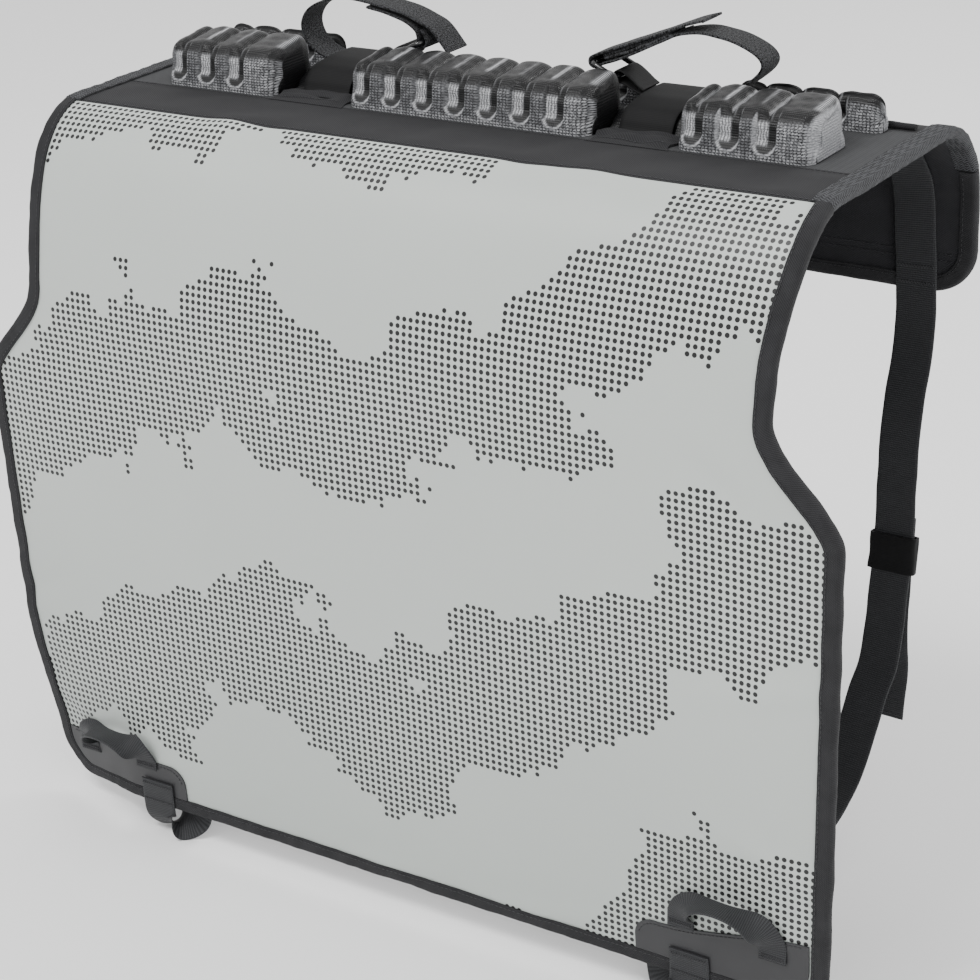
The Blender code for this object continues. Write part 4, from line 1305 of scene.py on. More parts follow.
@dataclass
class RearFlap(SewnPart):
    """Rear flap behind the tailgate: twill outside, near-black lining with a hem inside."""

    hem_height: float = 0.026
    binding_width: float = 0.0115

    def build(self) -> None:
        """Make the layers, the hem's seam and the binding."""
        shape = self.shape
        inset = shape.edge_in_binding
        start = shape.run_at_y(shape.seam_rear_y)
        end = shape.flap_end - inset
        hem = shape.flap_end - self.hem_height
        first = shape.flat_length + shape.rear_arc * 0.75 + shape.gap
        lay(shape, self.finishes.foam,
            Layer("flap_foam", start, end, *shape.core, inset, "foam"),
            ((Layer("flap_shell", start, end, *shape.outer_cloth, inset, "band_twill"),
              self.finishes.twill),
             (Layer("flap_lining", start, hem, *shape.inner_cloth, inset, "lining",
                    beside_band_until=first), self.finishes.lining),
             (Layer("flap_hem", hem + shape.gap, end, *shape.inner_cloth, inset, "lining"),
              self.finishes.lining)))
        half = shape.top_width / 2 - 0.014
        x = np.linspace(-half, half, 300)
        for run in (hem - 2.2 * MM, hem + 2.6 * MM):
            self.stitching.row(shape.point(x, run, shape.thickness + 0.2 * MM), 3.6 * MM)
        path = edge_path(shape, first, shape.flap_end, shape.flap_corner, -1)
        Binding("flap_binding", self.binding_width, shape.binding_cloth, "binding_tape").build(
            shape, path, self.finishes.tape, self.stitching, 41)


@dataclass
class RidgedBlock:
    """One moulded block: ridges front to back, with grooves that end in a U on its front."""

    name: str
    start: float
    width: float
    first: float
    grooves: int
    front: float
    depth: float
    height: float
    nose: float
    tail: float
    # True where the end turned to +X is painted light
    lit_right_end: bool = False
    pitch: float = 0.0260
    groove_top: float = 5.6 * MM
    groove_front: float = 4.6 * MM
    recess: float = 8.0 * MM
    wall: float = 2.2 * MM
    edge: float = 0.010
    lean: float = 1.8 * MM
    shoulder: float = 0.58
    brow: float = 0.92
    rear_shoulder: float = 0.62

    def profile(self) -> np.ndarray:
        """Side profile from the front foot over the crown to the rear foot, evenly spaced."""
        lean = self.lean
        turn = np.linspace(0, math.pi / 2, 12)
        shoulder, brow, rear = (self.height * share for share in (self.shoulder, self.brow,
                                                                  self.rear_shoulder))
        front = np.stack([lean + self.depth * self.nose * (1 - np.cos(turn)),
                          shoulder + (brow - shoulder) * np.sin(turn)], -1)
        back = np.stack([self.depth - lean - self.depth * self.tail * (1 - np.cos(turn)),
                         rear + (self.height - rear) * np.sin(turn)], -1)[::-1]
        points = np.vstack([[0, 0], [lean * 0.4, self.height * 0.30], front, back,
                            [self.depth, 0]])
        length = distances(points)
        places = np.linspace(0, length[-1], int(length[-1] / (1.0 * MM)))
        return np.column_stack([read_along(places, length, points), places])

    def end_caps(self, rings: np.ndarray, cloth: np.ndarray) -> list[tuple]:
        """Close the two ends with rows that run down to the foot.

        Args:
            rings: Loops of the block, end to end.
            cloth: Their places on the flat mesh.

        Returns:
            Loops and places before the first loop, and after the last one.
        """
        caps = []
        for edge, order in ((0, -1), (-1, 1)):
            shares = np.linspace(0.0, 0.985, 15)[:, None]
            loop = rings[edge]
            low = loop[:, 2].min()
            rows = np.repeat(loop[None], len(shares), 0)
            rows[..., 2] = low + (loop[None, :, 2] - low) * (1 - shares)
            rows[..., 0] += order * 0.6 * MM * np.sin(math.pi * shares)
            places = np.stack([rows[..., 1], rows[..., 2]], -1)
            caps.append((rows[1:][::order], places[1:][::order]))
        return caps

    def build(self, top: float, material: bpy.types.Material) -> bpy.types.Object:
        """Mould the block on the top.

        Args:
            top: Height of the top that it stands on.
            material: Finish.

        Returns:
            The new piece.
        """
        line = self.profile()
        width = self.width
        ends = self.edge * (1 - np.cos(np.linspace(0, math.pi / 2, 14)))
        across = np.unique(np.round(np.concatenate([
            np.linspace(self.edge, width - self.edge, int(width / (1.0 * MM))), ends,
            width - ends]), 7))
        x = across[:, None]
        y, z, length = (line[None, :, k] for k in range(3))
        end = np.minimum(x, width - x)
        bend = 1 - np.sqrt(1 - np.clip(1 - end / self.edge, 0, 1) ** 2 * 0.96)
        corner = min(self.edge, self.depth * 0.35)
        y = self.depth / 2 + (y - self.depth / 2) * (1 - corner * bend / (self.depth / 2))
        number = np.clip(np.round((x - self.first) / self.pitch), 0, self.grooves - 1)
        beside = x - self.first - number * self.pitch
        foot = self.height * 0.10
        below = np.maximum(foot + self.recess - length, 0.0)
        away = np.hypot(beside, below)
        recess = ease((self.recess + self.wall / 2 - away) / self.wall)
        front_share = ease((self.height * 1.05 - length) / (self.height * 0.35))
        from_crown = np.clip(1 - np.abs(beside) / (self.pitch / 2), 0, 1)
        wave = 1 - np.sqrt(1 - 0.985 * from_crown ** 2.4)
        rear_share = ease((line[-1, 2] - length - self.height * 0.15) / (self.height * 0.5))
        on_top = (1 - front_share) * rear_share
        groove = self.groove_front * recess * front_share + self.groove_top * wave * on_top
        groove = groove * min(self.height / 0.032, 1.0)
        droop = self.edge * 0.80 * bend
        share = ease((z - self.height * 0.12) / (self.height * 0.22))
        toward_y = self.depth / 2 - y
        toward_z = self.height * 0.35 - z
        size = np.hypot(toward_y, toward_z)
        bumpy = 0.18 * MM * waves(x, length, 0.009, 11)
        move = (groove + droop) * share + bumpy * share
        rings = together(self.start + x, self.front + y + move * toward_y / size,
                         top + z + move * toward_z / size)
        cloth = together(x, length)
        whole = np.ones_like(y * x)
        low = foot + self.recess - length
        shaded = np.maximum(ease((beside - 0.3 * MM) / (1.6 * MM)), ease((low - 2 * MM) / (2 * MM)))
        within = ease((self.recess - 0.5 * MM - away) / (0.8 * MM)) * front_share
        # Painted highlights: a bright rim line round each U and along each ridge's left edge, where
        # the edges catch the light
        rim = np.exp(-((away - self.recess) / (0.45 * MM)) ** 2) * front_share
        limb_highlight = np.exp(-((beside - 2.4 * MM) / (0.6 * MM)) ** 2) * on_top
        last = ease((x - self.first - (self.grooves - 1) * self.pitch - self.recess) / (2 * MM))
        # Painted highlights: glints along the ridges and on the ends' shoulders
        ridge_glint = np.exp(-((beside + 9.4 * MM) / (1.3 * MM)) ** 2)
        end_glint = np.exp(-((width - x - 5.5 * MM) / (2.0 * MM)) ** 2)
        uneven = 0.25 + 0.75 * ease(0.5 + 0.8 * waves(x, length * 0.3, 0.05, 17))
        crown = ease((length - self.height * 1.15) / (self.height * 0.2)) * rear_share
        near_foot = ease((foot * 1.6 - length) / foot)
        # Painted shade on the U's right side and bottom ('wall'); the lit side takes the silver chain
        # mesh ('inside')
        tags = {"wall": within * shaded, "inside": within * (1 - shaded),
                "rim": np.maximum(rim * (0.12 + 0.73 * shaded), limb_highlight * 0.35),
                "glint": np.minimum(ridge_glint * uneven * 1.1 + end_glint * 0.8, 1) * crown,
                # Painted shade along each valley on the tops
                "valley_shade": np.exp(-((beside + 1.2 * MM) / (2.6 * MM)) ** 2) * on_top,
                # Painted light: share of the lighter land colour on the last land and along the foot
                "lit": np.maximum(last, near_foot) * whole,
                # Painted light: share of the lighter front colours, high on the fronts below the
                # crown
                "open": ease((self.height * 0.82 - length) / (self.height * 0.14)) * whole}
        caps = self.end_caps(rings, cloth)
        rings = np.concatenate([caps[0][0], rings, caps[1][0]])
        cloth = np.concatenate([caps[0][1], cloth, caps[1][1]])
        shown = sweep("shown_" + self.name, rings, cloth, material, angle=70)
        blank = np.zeros((len(caps[0][0]), whole.shape[1]))
        for name, values in tags.items():
            tag(shown, name, np.concatenate([blank, values * whole, blank]).ravel())
        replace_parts(shown, self.name)
        return shown


@dataclass
class Rests(SewnPart):
    """Front row of three blocks and the lower row behind the strap channel."""

    centre_width: float = 0.1936
    side_width: float = 0.0968
    bike_gap: float = 0.065
    front: float = -0.019
    depth: float = 0.056
    height: float = 0.034
    rear_front: float = 0.0645
    rear_depth: float = 0.015
    rear_outer: float = 0.267
    first: float = 0.0115
    rear_first: float = 0.020
    bends: tuple[float, float] = (0.30, 0.19)
    rear_height: float = 0.024
    rear_centre_height: float = 0.015
    rear_bends: tuple[float, float] = (0.40, 0.35)

    def build(self) -> None:
        """Make all six blocks."""
        half = self.centre_width / 2
        outer = half + self.bike_gap
        wide = self.side_width
        rear_wide = self.rear_outer - outer
        first, rear_first = self.first, self.rear_first
        top = self.shape.thickness + self.shape.gap
        front = (self.front, self.depth, self.height, *self.bends)
        rear = (self.rear_front, self.rear_depth, self.rear_height, *self.rear_bends)
        low = (self.rear_front, self.rear_depth, self.rear_centre_height, *self.rear_bends)
        blocks = (RidgedBlock("block_left", -outer - wide, wide, first, 3, *front),
                  RidgedBlock("block_centre", -half, self.centre_width, first, 7, *front),
                  RidgedBlock("block_right", outer, wide, first, 3, *front, lit_right_end=True),
                  RidgedBlock("rear_block_left", -self.rear_outer, rear_wide, rear_first, 3,
                              *rear),
                  RidgedBlock("rear_block_centre", -half, self.centre_width, first, 7, *low),
                  RidgedBlock("rear_block_right", outer, rear_wide, rear_first, 3, *rear,
                              lit_right_end=True))
        for block in blocks:
            mesh = self.finishes.lit_end_mesh if block.lit_right_end else self.finishes.mesh
            block.build(top, mesh)


@dataclass
class Saddles(SewnPart):
    """Padded humps in the two gaps, with their bands, bike straps, rings and ring tabs."""

    bike_x: float = 0.1293
    strap_y: float = 0.051
    strap_width: float = 0.025
    strap_cloth: float = 0.0018
    band_width: float = 0.040
    ring_bar: float = 0.004
    ring_length: float = 0.035
    ring_span: float = 0.024
    ring_centre: tuple[float, float] = (-0.0503, 0.0304)
    ring_tilt: float = -0.45

    def loop(self, route: Sequence[tuple[float, float]], sign: int) -> list[tuple]:
        """Turn X offsets from the gap's middle and heights above the top into points."""
        top = self.shape.thickness
        return [(sign * (self.bike_x + x), self.strap_y, top + h) for x, h in route]

    def build(self) -> None:
        """Make both saddles and both straps."""
        for number, (side, sign) in enumerate(SIDES):
            self.pad(side, sign, number)
            self.fold(side, sign, number)
            self.band(side, sign, number)
            self.ring(side, sign)
            self.ring_tab(side, sign, number)
        self.closed_strap()
        self.open_strap()

    def pad(self, side: str, sign: int, number: int) -> None:
        """Swell the foam hump under the band, with its cross channel for the strap."""
        line = np.array(((0.0045, 0.0003), (0.0090, 0.0080), (0.0140, 0.0125), (0.0270, 0.0155),
                         (0.0377, 0.0160), (0.0385, 0.0135), (0.0635, 0.0135), (0.0643, 0.0155),
                         (0.0685, 0.0105), (0.0730, 0.0003)))
        length = distances(line)
        places = np.linspace(0, length[-1], 76)
        y, h = read_along(places, length, line).T
        x = np.linspace(-0.028, 0.028, 45)
        crown = 1 - 0.30 * np.abs(x / 0.028) ** 6
        lump = 0.4 * MM * waves(x[:, None], places[None], 0.012, 51 + number)
        rings = together(
            sign * self.bike_x + x[:, None], y[None],
            self.shape.thickness + 0.3 * MM + (h[None] - 0.3 * MM) * crown[:, None]
            + lump * ease(h[None] / 0.01))
        cloth = together(x[:, None], places[None])
        shown = sweep("shown_saddle_pad_" + side, rings, cloth, self.finishes.mesh,
                      angle=80)
        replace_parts(shown, "saddle_pad_" + side)

    def fold(self, side: str, sign: int, number: int) -> None:
        """Turn the band's foot under a wrinkled fold of twill in front of the hump."""
        half = 0.0300
        x = np.linspace(-half, half, 61)[:, None]
        y = np.linspace(-0.0235, 0.0010, 27)[None]
        share = (y + 0.0235) / 0.0245
        rise = 0.6 * MM + 2.6 * MM * ease(share * 1.6)
        rise = rise + 1.0 * MM * waves(x * 0.7, y * 2.4, 0.022, 56 + number) * ease(share * 3)
        rise = rise * (0.55 + 0.45 * ease((half - np.abs(x)) / 0.008))
        rise = np.maximum(rise, 0.5 * MM)
        x = x * (1 + 0.06 * waves(y, y * 0, 0.02, 58 + number))
        top = self.shape.thickness
        outer = together(sign * self.bike_x + x, y, top + rise)
        inner = outer.copy()
        inner[..., 2] = top + 0.25 * MM
        cloth = together(x, y)
        slab("shown_saddle_fold_" + side, outer.transpose(1, 0, 2), inner.transpose(1, 0, 2),
             cloth.transpose(1, 0, 2), self.finishes.twill)
        self.stitching.row(outer[3:-3, 8] + (0, 0, 0.3 * MM), 3.0 * MM)

    def band(self, side: str, sign: int, number: int) -> None:
        """Stretch the smooth band over the hump, with stitches across its two ends."""
        top = self.shape.thickness
        line = ((-0.010, 0.0013), (0.001, 0.0013), (0.006, 0.0085), (0.013, 0.0145),
                (0.026, 0.0172), (0.038, 0.0182), (0.051, 0.0184), (0.064, 0.0178),
                (0.072, 0.0120), (0.0765, 0.0045))
        route = [(sign * self.bike_x, y, top + h) for y, h in line]
        band = Strap("shown_saddle_band_" + side, route, self.band_width, 1.4 * MM,
                     self.finishes.belt, "smooth_webbing", seed=61 + number)
        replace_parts(band.build(), "saddle_band_" + side)
        for at in (2.2 * MM, 5.5 * MM):
            self.stitching.across(band, at, 0.018, -0.15 * MM, 3.2 * MM, 30)

    def ring(self, side: str, sign: int) -> None:
        """Mould the oval ring that the strap turns round."""
        tilt = self.ring_tilt
        direction = np.array([math.cos(tilt), 0.0, math.sin(tilt)])
        length = np.array([0.0, 1.0, 0.0])
        up = np.cross(direction, length)
        middle = np.array([self.bike_x + self.ring_centre[0], self.strap_y,
                           self.shape.thickness + self.ring_centre[1]])
        corner = 0.005
        span = self.ring_span / 2 - self.ring_bar / 2 - corner
        reach = self.ring_length / 2 - self.ring_bar / 2 - corner
        turn = np.linspace(0, 2 * math.pi, 16, endpoint=False)
        rings = []
        for quarter, (cx, cy) in enumerate(((1, 1), (-1, 1), (-1, -1), (1, -1))):
            for angle in math.pi / 2 * (quarter + np.linspace(0, 1, 10)):
                out = direction * math.cos(angle) + length * math.sin(angle)
                base = middle + direction * cx * span + length * cy * reach + out * corner
                rings.append(base + (out * np.cos(turn)[:, None] + up * np.sin(turn)[:, None])
                             * self.ring_bar / 2)
        loops = np.array(rings)
        loops[..., 0] *= sign
        places = together(turn[None] * 0.002, np.arange(len(loops))[:, None] * 0.002)
        shown = sweep("shown_strap_ring_" + side, loops if sign > 0 else loops[:, ::-1], places,
                      self.finishes.ring, closed=True)
        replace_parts(shown, "strap_ring_" + side)

    def ring_tab(self, side: str, sign: int, number: int) -> None:
        """Fold the smooth tab through the ring and sew it to the saddle band."""
        route = ((-0.0165, 0.0148), (-0.0240, 0.0156), (-0.0310, 0.0182), (-0.0360, 0.0208),
                 (-0.0394, 0.0220), (-0.0434, 0.0226), (-0.0452, 0.0253), (-0.0441, 0.0288),
                 (-0.0407, 0.0301), (-0.0362, 0.0282), (-0.0310, 0.0244), (-0.0262, 0.0206),
                 (-0.0225, 0.0184))
        tab = Strap("shown_ring_tab_" + side, self.loop(route, sign), self.strap_width - 0.002,
                    1.4 * MM, self.finishes.belt, "smooth_webbing", (0, 1, 0), 0.8 * MM,
                    0.1 * MM, seed=71 + number)
        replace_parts(tab.build(), "ring_tab_" + side)
        for at in (-2.0 * MM, -9.0 * MM):
            self.stitching.across(tab, at, 0.0105, 0.15 * MM * sign, 2.6 * MM, 24)

    def strap(self, node: str, route: Sequence[tuple[float, float]], sign: int, seed: int) -> Strap:
        """Lay one napped strap along its route, and return it."""
        strap = Strap("shown_" + node, self.loop(route, sign), self.strap_width,
                      self.strap_cloth, self.finishes.napped, "hook_tape", (0, 1, 0), 1.0 * MM,
                      0.18 * MM, seed=seed)
        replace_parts(strap.build(), node)
        for lift in (0.12 * MM, -0.12 * MM):
            self.stitching.across(strap, -3.0 * MM, 0.0115, lift, 2.6 * MM)
        return strap

    def closed_strap(self) -> None:
        """Close the right strap through its ring and back over itself."""
        route = ((-0.010, 0.0152), (0.010, 0.0152), (0.022, 0.0156), (0.0360, 0.0190),
                 (0.0505, 0.0275), (0.0620, 0.0365), (0.0660, 0.0440), (0.0615, 0.0505),
                 (0.0500, 0.0560), (0.0360, 0.0595), (0.0220, 0.0608), (0.0060, 0.0588),
                 (-0.0100, 0.0518), (-0.0300, 0.0425), (-0.0430, 0.0370), (-0.0515, 0.0342),
                 (-0.0555, 0.0326), (-0.0575, 0.0315), (-0.0600, 0.0310), (-0.0623, 0.0324),
                 (-0.0631, 0.0349), (-0.0621, 0.0374), (-0.0597, 0.0386), (-0.0550, 0.0405),
                 (-0.0350, 0.0480), (-0.0100, 0.0572), (0.0100, 0.0652), (0.0245, 0.0694))
        strap = self.strap("bike_strap_right", route, 1, 81)
        lower = ((-0.0520, 0.0372), (-0.0300, 0.0449), (-0.0100, 0.0536), (0.0040, 0.0590))
        upper = ((-0.0530, 0.0390), (-0.0330, 0.0462), (-0.0140, 0.0535), (-0.0020, 0.0590))
        for number, line in enumerate((lower, upper)):
            between = Strap(f"shown_strap_fold_{number}", self.loop(line, 1),
                            self.strap_width - 0.0016 * (number + 1), 2.2 * MM, strap.material,
                            "hook_tape", (0, 1, 0), 1.0 * MM, 0.5 * MM, seed=84 + number)
            between.build()

    def open_strap(self) -> None:
        """Leave the left strap open: its loop hangs free and a hook strip holds its ring."""
        loop = ((-0.010, 0.0152), (0.010, 0.0152), (0.022, 0.0156), (0.0335, 0.0190),
                (0.0430, 0.0270), (0.0458, 0.0375), (0.0405, 0.0480), (0.0295, 0.0550),
                (0.0100, 0.0600), (-0.0115, 0.0592), (-0.0400, 0.0545), (-0.0590, 0.0482),
                (-0.0690, 0.0425), (-0.0805, 0.0290))
        strip = ((-0.0130, 0.0556), (-0.0300, 0.0524), (-0.0450, 0.0482), (-0.0535, 0.0430),
                 (-0.0556, 0.0380), (-0.0555, 0.0340), (-0.0569, 0.0318), (-0.0594, 0.0310),
                 (-0.0620, 0.0322), (-0.0631, 0.0349), (-0.0624, 0.0378), (-0.0608, 0.0410),
                 (-0.0588, 0.0436))
        self.strap("bike_strap_left", loop, -1, 82)
        self.strap("hook_strip_left", strip, -1, 83)


@dataclass
class Corners(SewnPart):
    """Lower corners of the outer panel: coated patches, webbing pulls and strap loops."""

    inner_x: float = 0.196
    end_radius: float = 0.014
    top_inner: float = 0.038
    top_outer: tuple[float, float] = (0.042, 0.055)
    pull_foot: tuple[float, float] = (0.038, 0.047)
    pull_rise: tuple[float, float] = (0.019, 0.025)
    loop_shift: tuple[float, float] = (-0.010, 0.005)
    binding_width: float = 0.0115
    webbing: float = 0.0016

    def build(self) -> None:
        """Make both corners."""
        for number, (side, sign) in enumerate(SIDES):
            self.patch(side, sign, number)
            self.pull(side, sign, number)
            self.strap_loop(side, sign, number)

    def patch(self, side: str, sign: int, number: int) -> None:
        """Lay the smooth patch on the panel, with its edge stitched down."""
        shape = self.shape
        inset = self.binding_width + shape.gap
        low = shape.panel_bottom + inset
        reach = shape.panel_corner - inset
        corner_x = shape.panel_width_low / 2 - shape.panel_corner
        side_x = corner_x + reach
        share = np.concatenate([0.12 * (1 - np.cos(np.linspace(0, math.pi / 2, 12))),
                                np.linspace(0.14, 0.80, 30),
                                0.8 + 0.2 * np.sin(np.linspace(0.1, math.pi / 2, 14))])
        x = self.inner_x + (side_x - self.inner_x) * share
        bottom = np.where(x > corner_x, shape.panel_bottom + shape.panel_corner - np.sqrt(
            np.maximum(reach ** 2 - (x - corner_x) ** 2, 0)), low)
        rise = ease((x - self.inner_x - self.end_radius) / (side_x - self.inner_x
                                                            - self.end_radius))
        high = self.top_outer[number] - self.top_inner
        top = shape.panel_bottom + self.top_inner + high * rise
        into = np.clip(self.end_radius - (x - self.inner_x), 0, self.end_radius)
        top = top - self.end_radius + np.sqrt(self.end_radius ** 2 - into ** 2 + 1e-12)
        rows = np.linspace(0, 1, 15)[:, None]
        z = bottom[None] + (top - bottom)[None] * rows
        grid_x = np.broadcast_to(x[None], z.shape)
        run = np.vectorize(shape.run_at_z)(z)
        outer = shape.point(sign * grid_x, run, -1.3 * MM)
        inner = shape.point(sign * grid_x, run, -0.3 * MM)
        if sign < 0:
            outer, inner, grid_x, run = (v[:, ::-1] for v in (outer, inner, grid_x, run))
        shown = slab("shown_corner_patch_" + side, outer, inner,
                     np.stack([sign * grid_x, run], -1), self.finishes.patch)
        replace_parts(shown, "corner_patch_" + side)
        middle_x = (self.inner_x + side_x) / 2
        seam_x = middle_x + (x - middle_x) * 0.965
        seam_z = top - 2.2 * MM
        line = shape.point(sign * seam_x, np.vectorize(shape.run_at_z)(seam_z), -1.5 * MM)
        self.stitching.row(line[2:], 3.2 * MM)

    def pull(self, side: str, sign: int, number: int) -> None:
        """Arch the webbing pull over the patch, sewn down at both feet."""
        shape = self.shape
        face = shape.before_binding(self.webbing) - 0.9 * MM
        foot_z = shape.panel_bottom + self.pull_foot[number]
        angles = np.linspace(0, math.pi, 19)
        points = []
        for a in angles:
            x = sign * (0.266 - 0.034 * math.cos(a))
            z = foot_z + self.pull_rise[number] * math.sin(a)
            curl = float(shape.curl(x, z))
            points.append((x, face - 0.0112 * math.sin(a) ** 1.2 + curl,
                           z - shape.curl_drop * curl))
        widths = [(sign * math.cos(a), -math.sin(a), 0.12 * math.sin(a)) for a in angles]
        first = (points[0][0], points[0][1], points[0][2] - 0.006)
        last = (points[-1][0], points[-1][1], points[-1][2] - 0.010)
        pull = Strap("shown_corner_handle_" + side, [first, *points, last], 0.020, self.webbing,
                     self.finishes.webbing, "webbing",
                     np.array([widths[0], *widths, widths[-1]]), 1.0 * MM, 0.2 * MM,
                     seed=91 + number)
        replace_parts(pull.build(), "corner_handle_" + side)
        for end in (1.2 * MM, -1.2 * MM, 4.0 * MM, -4.0 * MM):
            facing = math.copysign(0.2 * MM, -pull.normal[0 if end > 0 else -1][1])
            self.stitching.bar(pull, end, 0.0085, facing, 1.9 * MM, 9)

    def strap_loop(self, side: str, sign: int, number: int) -> None:
        """Wrap the webbing loop round the lower edge, with a zigzag bar on its front."""
        shape = self.shape
        front = shape.before_binding(self.webbing) - 0.3 * MM
        back = (shape.front_y + shape.thickness + shape.binding_cloth + 2 * shape.gap
                + self.webbing / 2)
        middle = (front + back) / 2
        profile = ((0.2330, front - 0.0004, 0.0225), (0.2330, front, 0.0120),
                   (0.2325, front, -0.0040), (0.2300, front + 0.002, -0.0110),
                   (0.2220, middle, -0.0145), (0.2120, back - 0.002, -0.0105),
                   (0.2080, back, -0.0040), (0.2075, back, 0.0120), (0.2075, back, 0.0300))
        shift = self.loop_shift[number]
        route = mirrored([(x + shift, y, shape.panel_bottom + h) for x, y, h in profile], sign)
        loop = Strap("shown_corner_tab_" + side, route, 0.030, self.webbing,
                     self.finishes.webbing, "webbing", step=1.0 * MM, seed=95 + number)
        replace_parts(loop.build(), "corner_tab_" + side)
        facing = math.copysign(0.2 * MM, -loop.normal[0][1])
        for at in (2.0 * MM, 16.0 * MM):
            self.stitching.bar(loop, at, 0.0135, facing, -2.0 * MM, 14)


@dataclass
class TailgateStraps(SewnPart):
    """Webbing straps from the top's underside, down the flap and under the tailgate."""

    width: float = 0.030
    webbing: float = 0.0016

    def build(self) -> None:
        """Make both straps with their loose ends and keepers."""
        for number, (side, sign) in enumerate(SIDES):
            self.strap(side, sign, number)
            self.tail(side, sign, number)
            self.keeper(side, sign)

    def strap(self, side: str, sign: int, number: int) -> None:
        """Hang the strap from the top and lead it to the corner loop."""
        shape = self.shape
        inner = (shape.front_y + shape.sheet_depth - shape.thickness - shape.binding_cloth
                 - 2 * shape.gap - self.webbing / 2)
        reach = inner - shape.flat_end
        points = [(x, shape.flat_end + reach * math.sin(a),
                   shape.thickness - shape.rear_radius + (reach + 0.0005) * math.cos(a))
                  for a, x in ((0.14, 0.2485), (0.45, 0.2495), (0.8, 0.2515), (1.15, 0.2545),
                               (1.5, 0.2580))]
        end_y = (shape.front_y + shape.thickness + shape.binding_cloth + 3 * shape.gap
                 + self.webbing * 1.5)
        points += [(0.2610, inner, -0.0960), (0.2620, inner, -0.1285),
                   (0.2620, inner - 0.003, -0.1620), (0.2620, 0.1190, -0.2205),
                   (0.2615, 0.1120, -0.3125), (0.2600, 0.0980, -0.3845),
                   (0.2580, 0.0830, -0.4120), (0.2545, 0.0560, -0.4560),
                   (0.2500, 0.0250, -0.4840), (0.2420, -0.0450, -0.5080),
                   (0.2300, -0.1050, -0.5240), (0.2190, -0.1290, -0.5225),
                   (0.2140, -0.1362, -0.5120), (0.2130, end_y + 0.0002, -0.4980)]
        strap = Strap("shown_tailgate_strap_" + side, mirrored(points, sign), self.width,
                      self.webbing, self.finishes.webbing, "webbing", wobble=0.3 * MM,
                      seed=101 + number)
        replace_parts(strap.build(), "tailgate_strap_" + side)
        facing = math.copysign(0.2 * MM, -strap.normal[len(strap.line) // 4][1])
        for at in (0.128, 0.140):
            self.stitching.bar(strap, at, 0.0130, facing, 2.4 * MM, 12)

    def tail(self, side: str, sign: int, number: int) -> None:
        """Hang the strap's loose end behind it."""
        route = ((0.2618, 0.1180, -0.2850), (0.2615, 0.1148, -0.3125), (0.2610, 0.1130, -0.3400),
                 (0.2605, 0.1115, -0.3750), (0.2600, 0.1150, -0.4110), (0.2590, 0.1100, -0.4440))
        tail = Strap("shown_strap_tail_" + side, mirrored(route, sign), self.width - 0.001,
                     self.webbing, self.finishes.webbing, "webbing", wobble=0.2 * MM,
                     seed=111 + number)
        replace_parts(tail.build(), "strap_tail_" + side)
        for at in (-4.0 * MM, -14.0 * MM):
            for lift in (0.15 * MM, -0.15 * MM):
                self.stitching.across(tail, at, 0.013, lift, 2.8 * MM)

    def keeper(self, side: str, sign: int) -> None:
        """Fold the sleeve that keeps the strap and its loose end together."""
        centre = np.array([sign * 0.2615, 0.1133, -0.3125])
        along = np.array([sign * 0.0015, 0.0105, 0.0920])
        along /= np.linalg.norm(along)
        across = np.array([1.0, 0, 0])
        normal = np.cross(across, along)
        normal /= np.linalg.norm(normal)
        half_w = self.width / 2 + 0.0012
        cloth = 0.0013
        half_t = 0.0030
        heights = np.linspace(-0.0135, 0.0135, 24)
        turn = np.linspace(0, 2 * math.pi, 48, endpoint=False)
        power = 0.30
        u = np.sign(np.cos(turn)) * np.abs(np.cos(turn)) ** power
        v = np.sign(np.sin(turn)) * np.abs(np.sin(turn)) ** power
        flat = heights[:, None]
        seam = 0.35 * MM * np.exp(-((u[None] * half_w) / 0.0012) ** 2) * (v[None] < -0.9)
        wave = 1 + 0.02 * waves(flat, turn[None] * 0.01, 0.02, 7)
        pieces = []
        for wide, thick, extra in ((half_w + cloth, half_t + cloth, seam), (half_w, half_t, 0)):
            x = u[None] * wide * wave
            y = (v[None] * (thick - extra)) * wave
            pieces.append(centre + along * flat[..., None] + across * x[..., None]
                          + normal * y[..., None])
        outer, inner = pieces
        rings = np.concatenate([outer, inner[::-1]])
        place = together(turn[None] * 0.01, np.concatenate([heights, heights[::-1]])[:, None])
        shown = sweep("shown_strap_keeper_" + side, rings, place, self.finishes.belt,
                      closed=True, angle=60)
        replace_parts(shown, "strap_keeper_" + side)


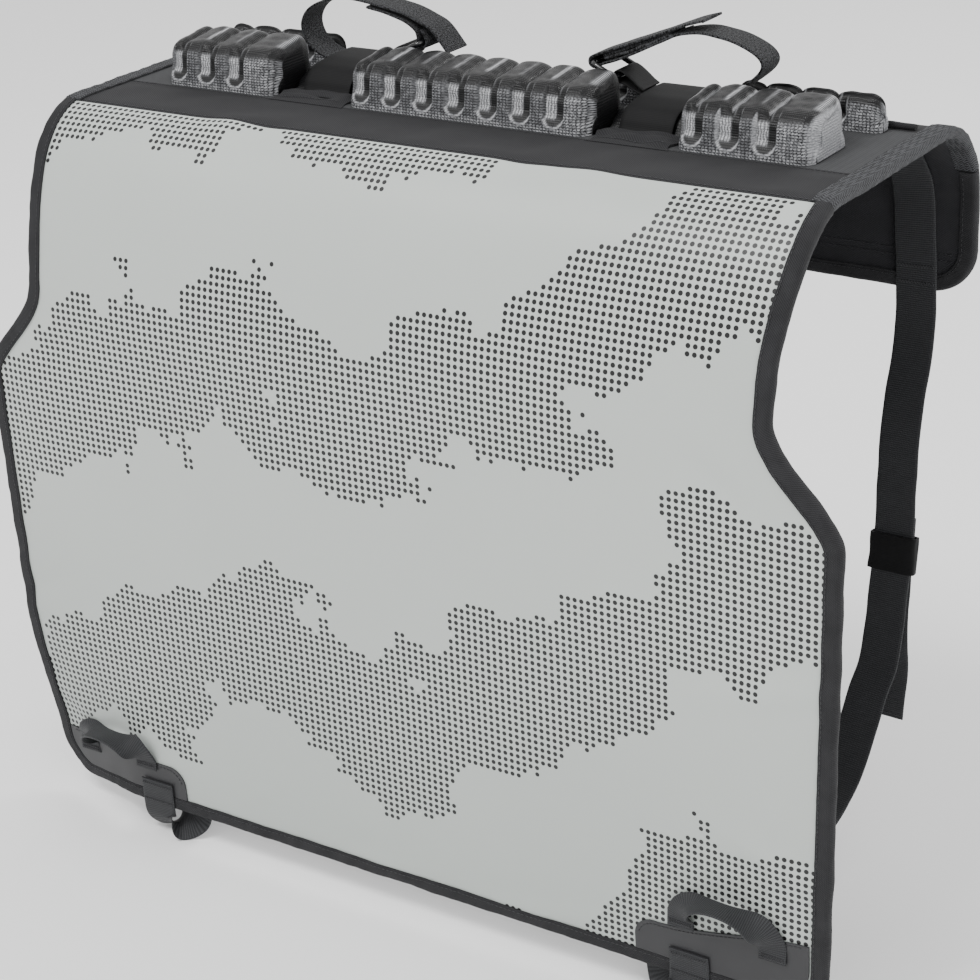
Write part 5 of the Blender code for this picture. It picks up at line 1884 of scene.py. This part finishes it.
@dataclass
class Studio:
    """Pale floor, soft lights and the camera at the photograph's view."""

    lens: float = 89.12
    azimuth: float = 0.595237
    elevation: float = 0.419459
    roll: float = 0.050597
    place: tuple[float, float, float] = (0.8971, -1.3327, 0.4445)

    def build(self, lowest: float) -> None:
        """Set up the floor under the lowest point, the lights and the camera.

        Args:
            lowest: Height of the object's lowest point.
        """
        self.floor(lowest)
        self.light("key", (-0.6, -1.7, 3.0), 1.2, 85.0)
        self.light("fill", (2.6, -1.4, 1.2), 1.6, 22.0)
        self.light("back", (1.2, 2.4, 1.9), 1.2, 40.0)
        self.sky()
        self.camera()

    def floor(self, lowest: float) -> None:
        """Lay the plain pale floor."""
        shade = Shade("matt floor paper", "#FAFAFA", 0.9)
        mesh = bpy.data.meshes.new("floor")
        corners = [(-6, -6, lowest), (6, -6, lowest), (6, 6, lowest), (-6, 6, lowest)]
        mesh.from_pydata(corners, [], [(0, 1, 2, 3)])
        mesh.materials.append(shade.material)
        floor = bpy.data.objects.new("floor", mesh)
        bpy.context.scene.collection.objects.link(floor)
        floor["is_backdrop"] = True

    def light(self, name: str, place: tuple[float, float, float], size: float,
              power: float) -> None:
        """Hang one square soft light that faces the pad."""
        lamp = bpy.data.lights.new(name, "AREA")
        lamp.size = size
        lamp.energy = power
        shown = bpy.data.objects.new(name, lamp)
        shown.location = place
        toward = Vector((0.0, 0.0, -0.2)) - Vector(place)
        shown.rotation_euler = toward.to_track_quat("-Z", "Y").to_euler()
        bpy.context.scene.collection.objects.link(shown)

    def sky(self) -> None:
        """Light the studio evenly from all round."""
        world = bpy.data.worlds.new("studio")
        world.use_nodes = True
        back = world.node_tree.nodes["Background"]
        back.inputs["Color"].default_value = linear("#FFFFFF")
        back.inputs["Strength"].default_value = 1.05
        bpy.context.scene.world = world

    def camera(self) -> None:
        """Place the camera at the photograph's view."""
        turn, tilt = self.azimuth, self.elevation
        ahead = Vector((-math.sin(turn) * math.cos(tilt), math.cos(turn) * math.cos(tilt),
                        -math.sin(tilt)))
        level = Vector((math.cos(turn), math.sin(turn), 0.0))
        down = ahead.cross(level)
        right = level * math.cos(self.roll) + down * math.sin(self.roll)
        low = down * math.cos(self.roll) - level * math.sin(self.roll)
        data = bpy.data.cameras.new("camera")
        data.lens = self.lens
        data.sensor_width = 36.0
        data.clip_end = 50.0
        shown = bpy.data.objects.new("camera", data)
        axes = Matrix((right, -low, -ahead)).transposed().to_4x4()
        shown.matrix_world = Matrix.Translation(self.place) @ axes
        bpy.context.scene.collection.objects.link(shown)
        bpy.context.scene.camera = shown


def plain(box: tuple[Vector, Vector]) -> list[list[float]]:
    """Turn a box into plain lists of numbers."""
    return [[float(value) for value in corner] for corner in box]


def main() -> None:
    """Build every sub-assembly, then the studio."""
    logging.basicConfig(level=logging.INFO)
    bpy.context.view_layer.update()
    shape = SheetShape()
    finishes = Finishes()
    stitching = Stitching("edge_stitches", finishes.thread, "binding_tape")
    for part in (OuterPanel, Top, RearFlap, Rests, Saddles, Corners, TailgateStraps):
        part(shape, finishes, stitching).build()
        LOG.info("%s made", part.__name__)
    stitching.build()
    LOG.info("stitches sewn")
    shown_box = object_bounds()
    Studio().build(shown_box[0].z)


if __name__ == "__main__":
    main()
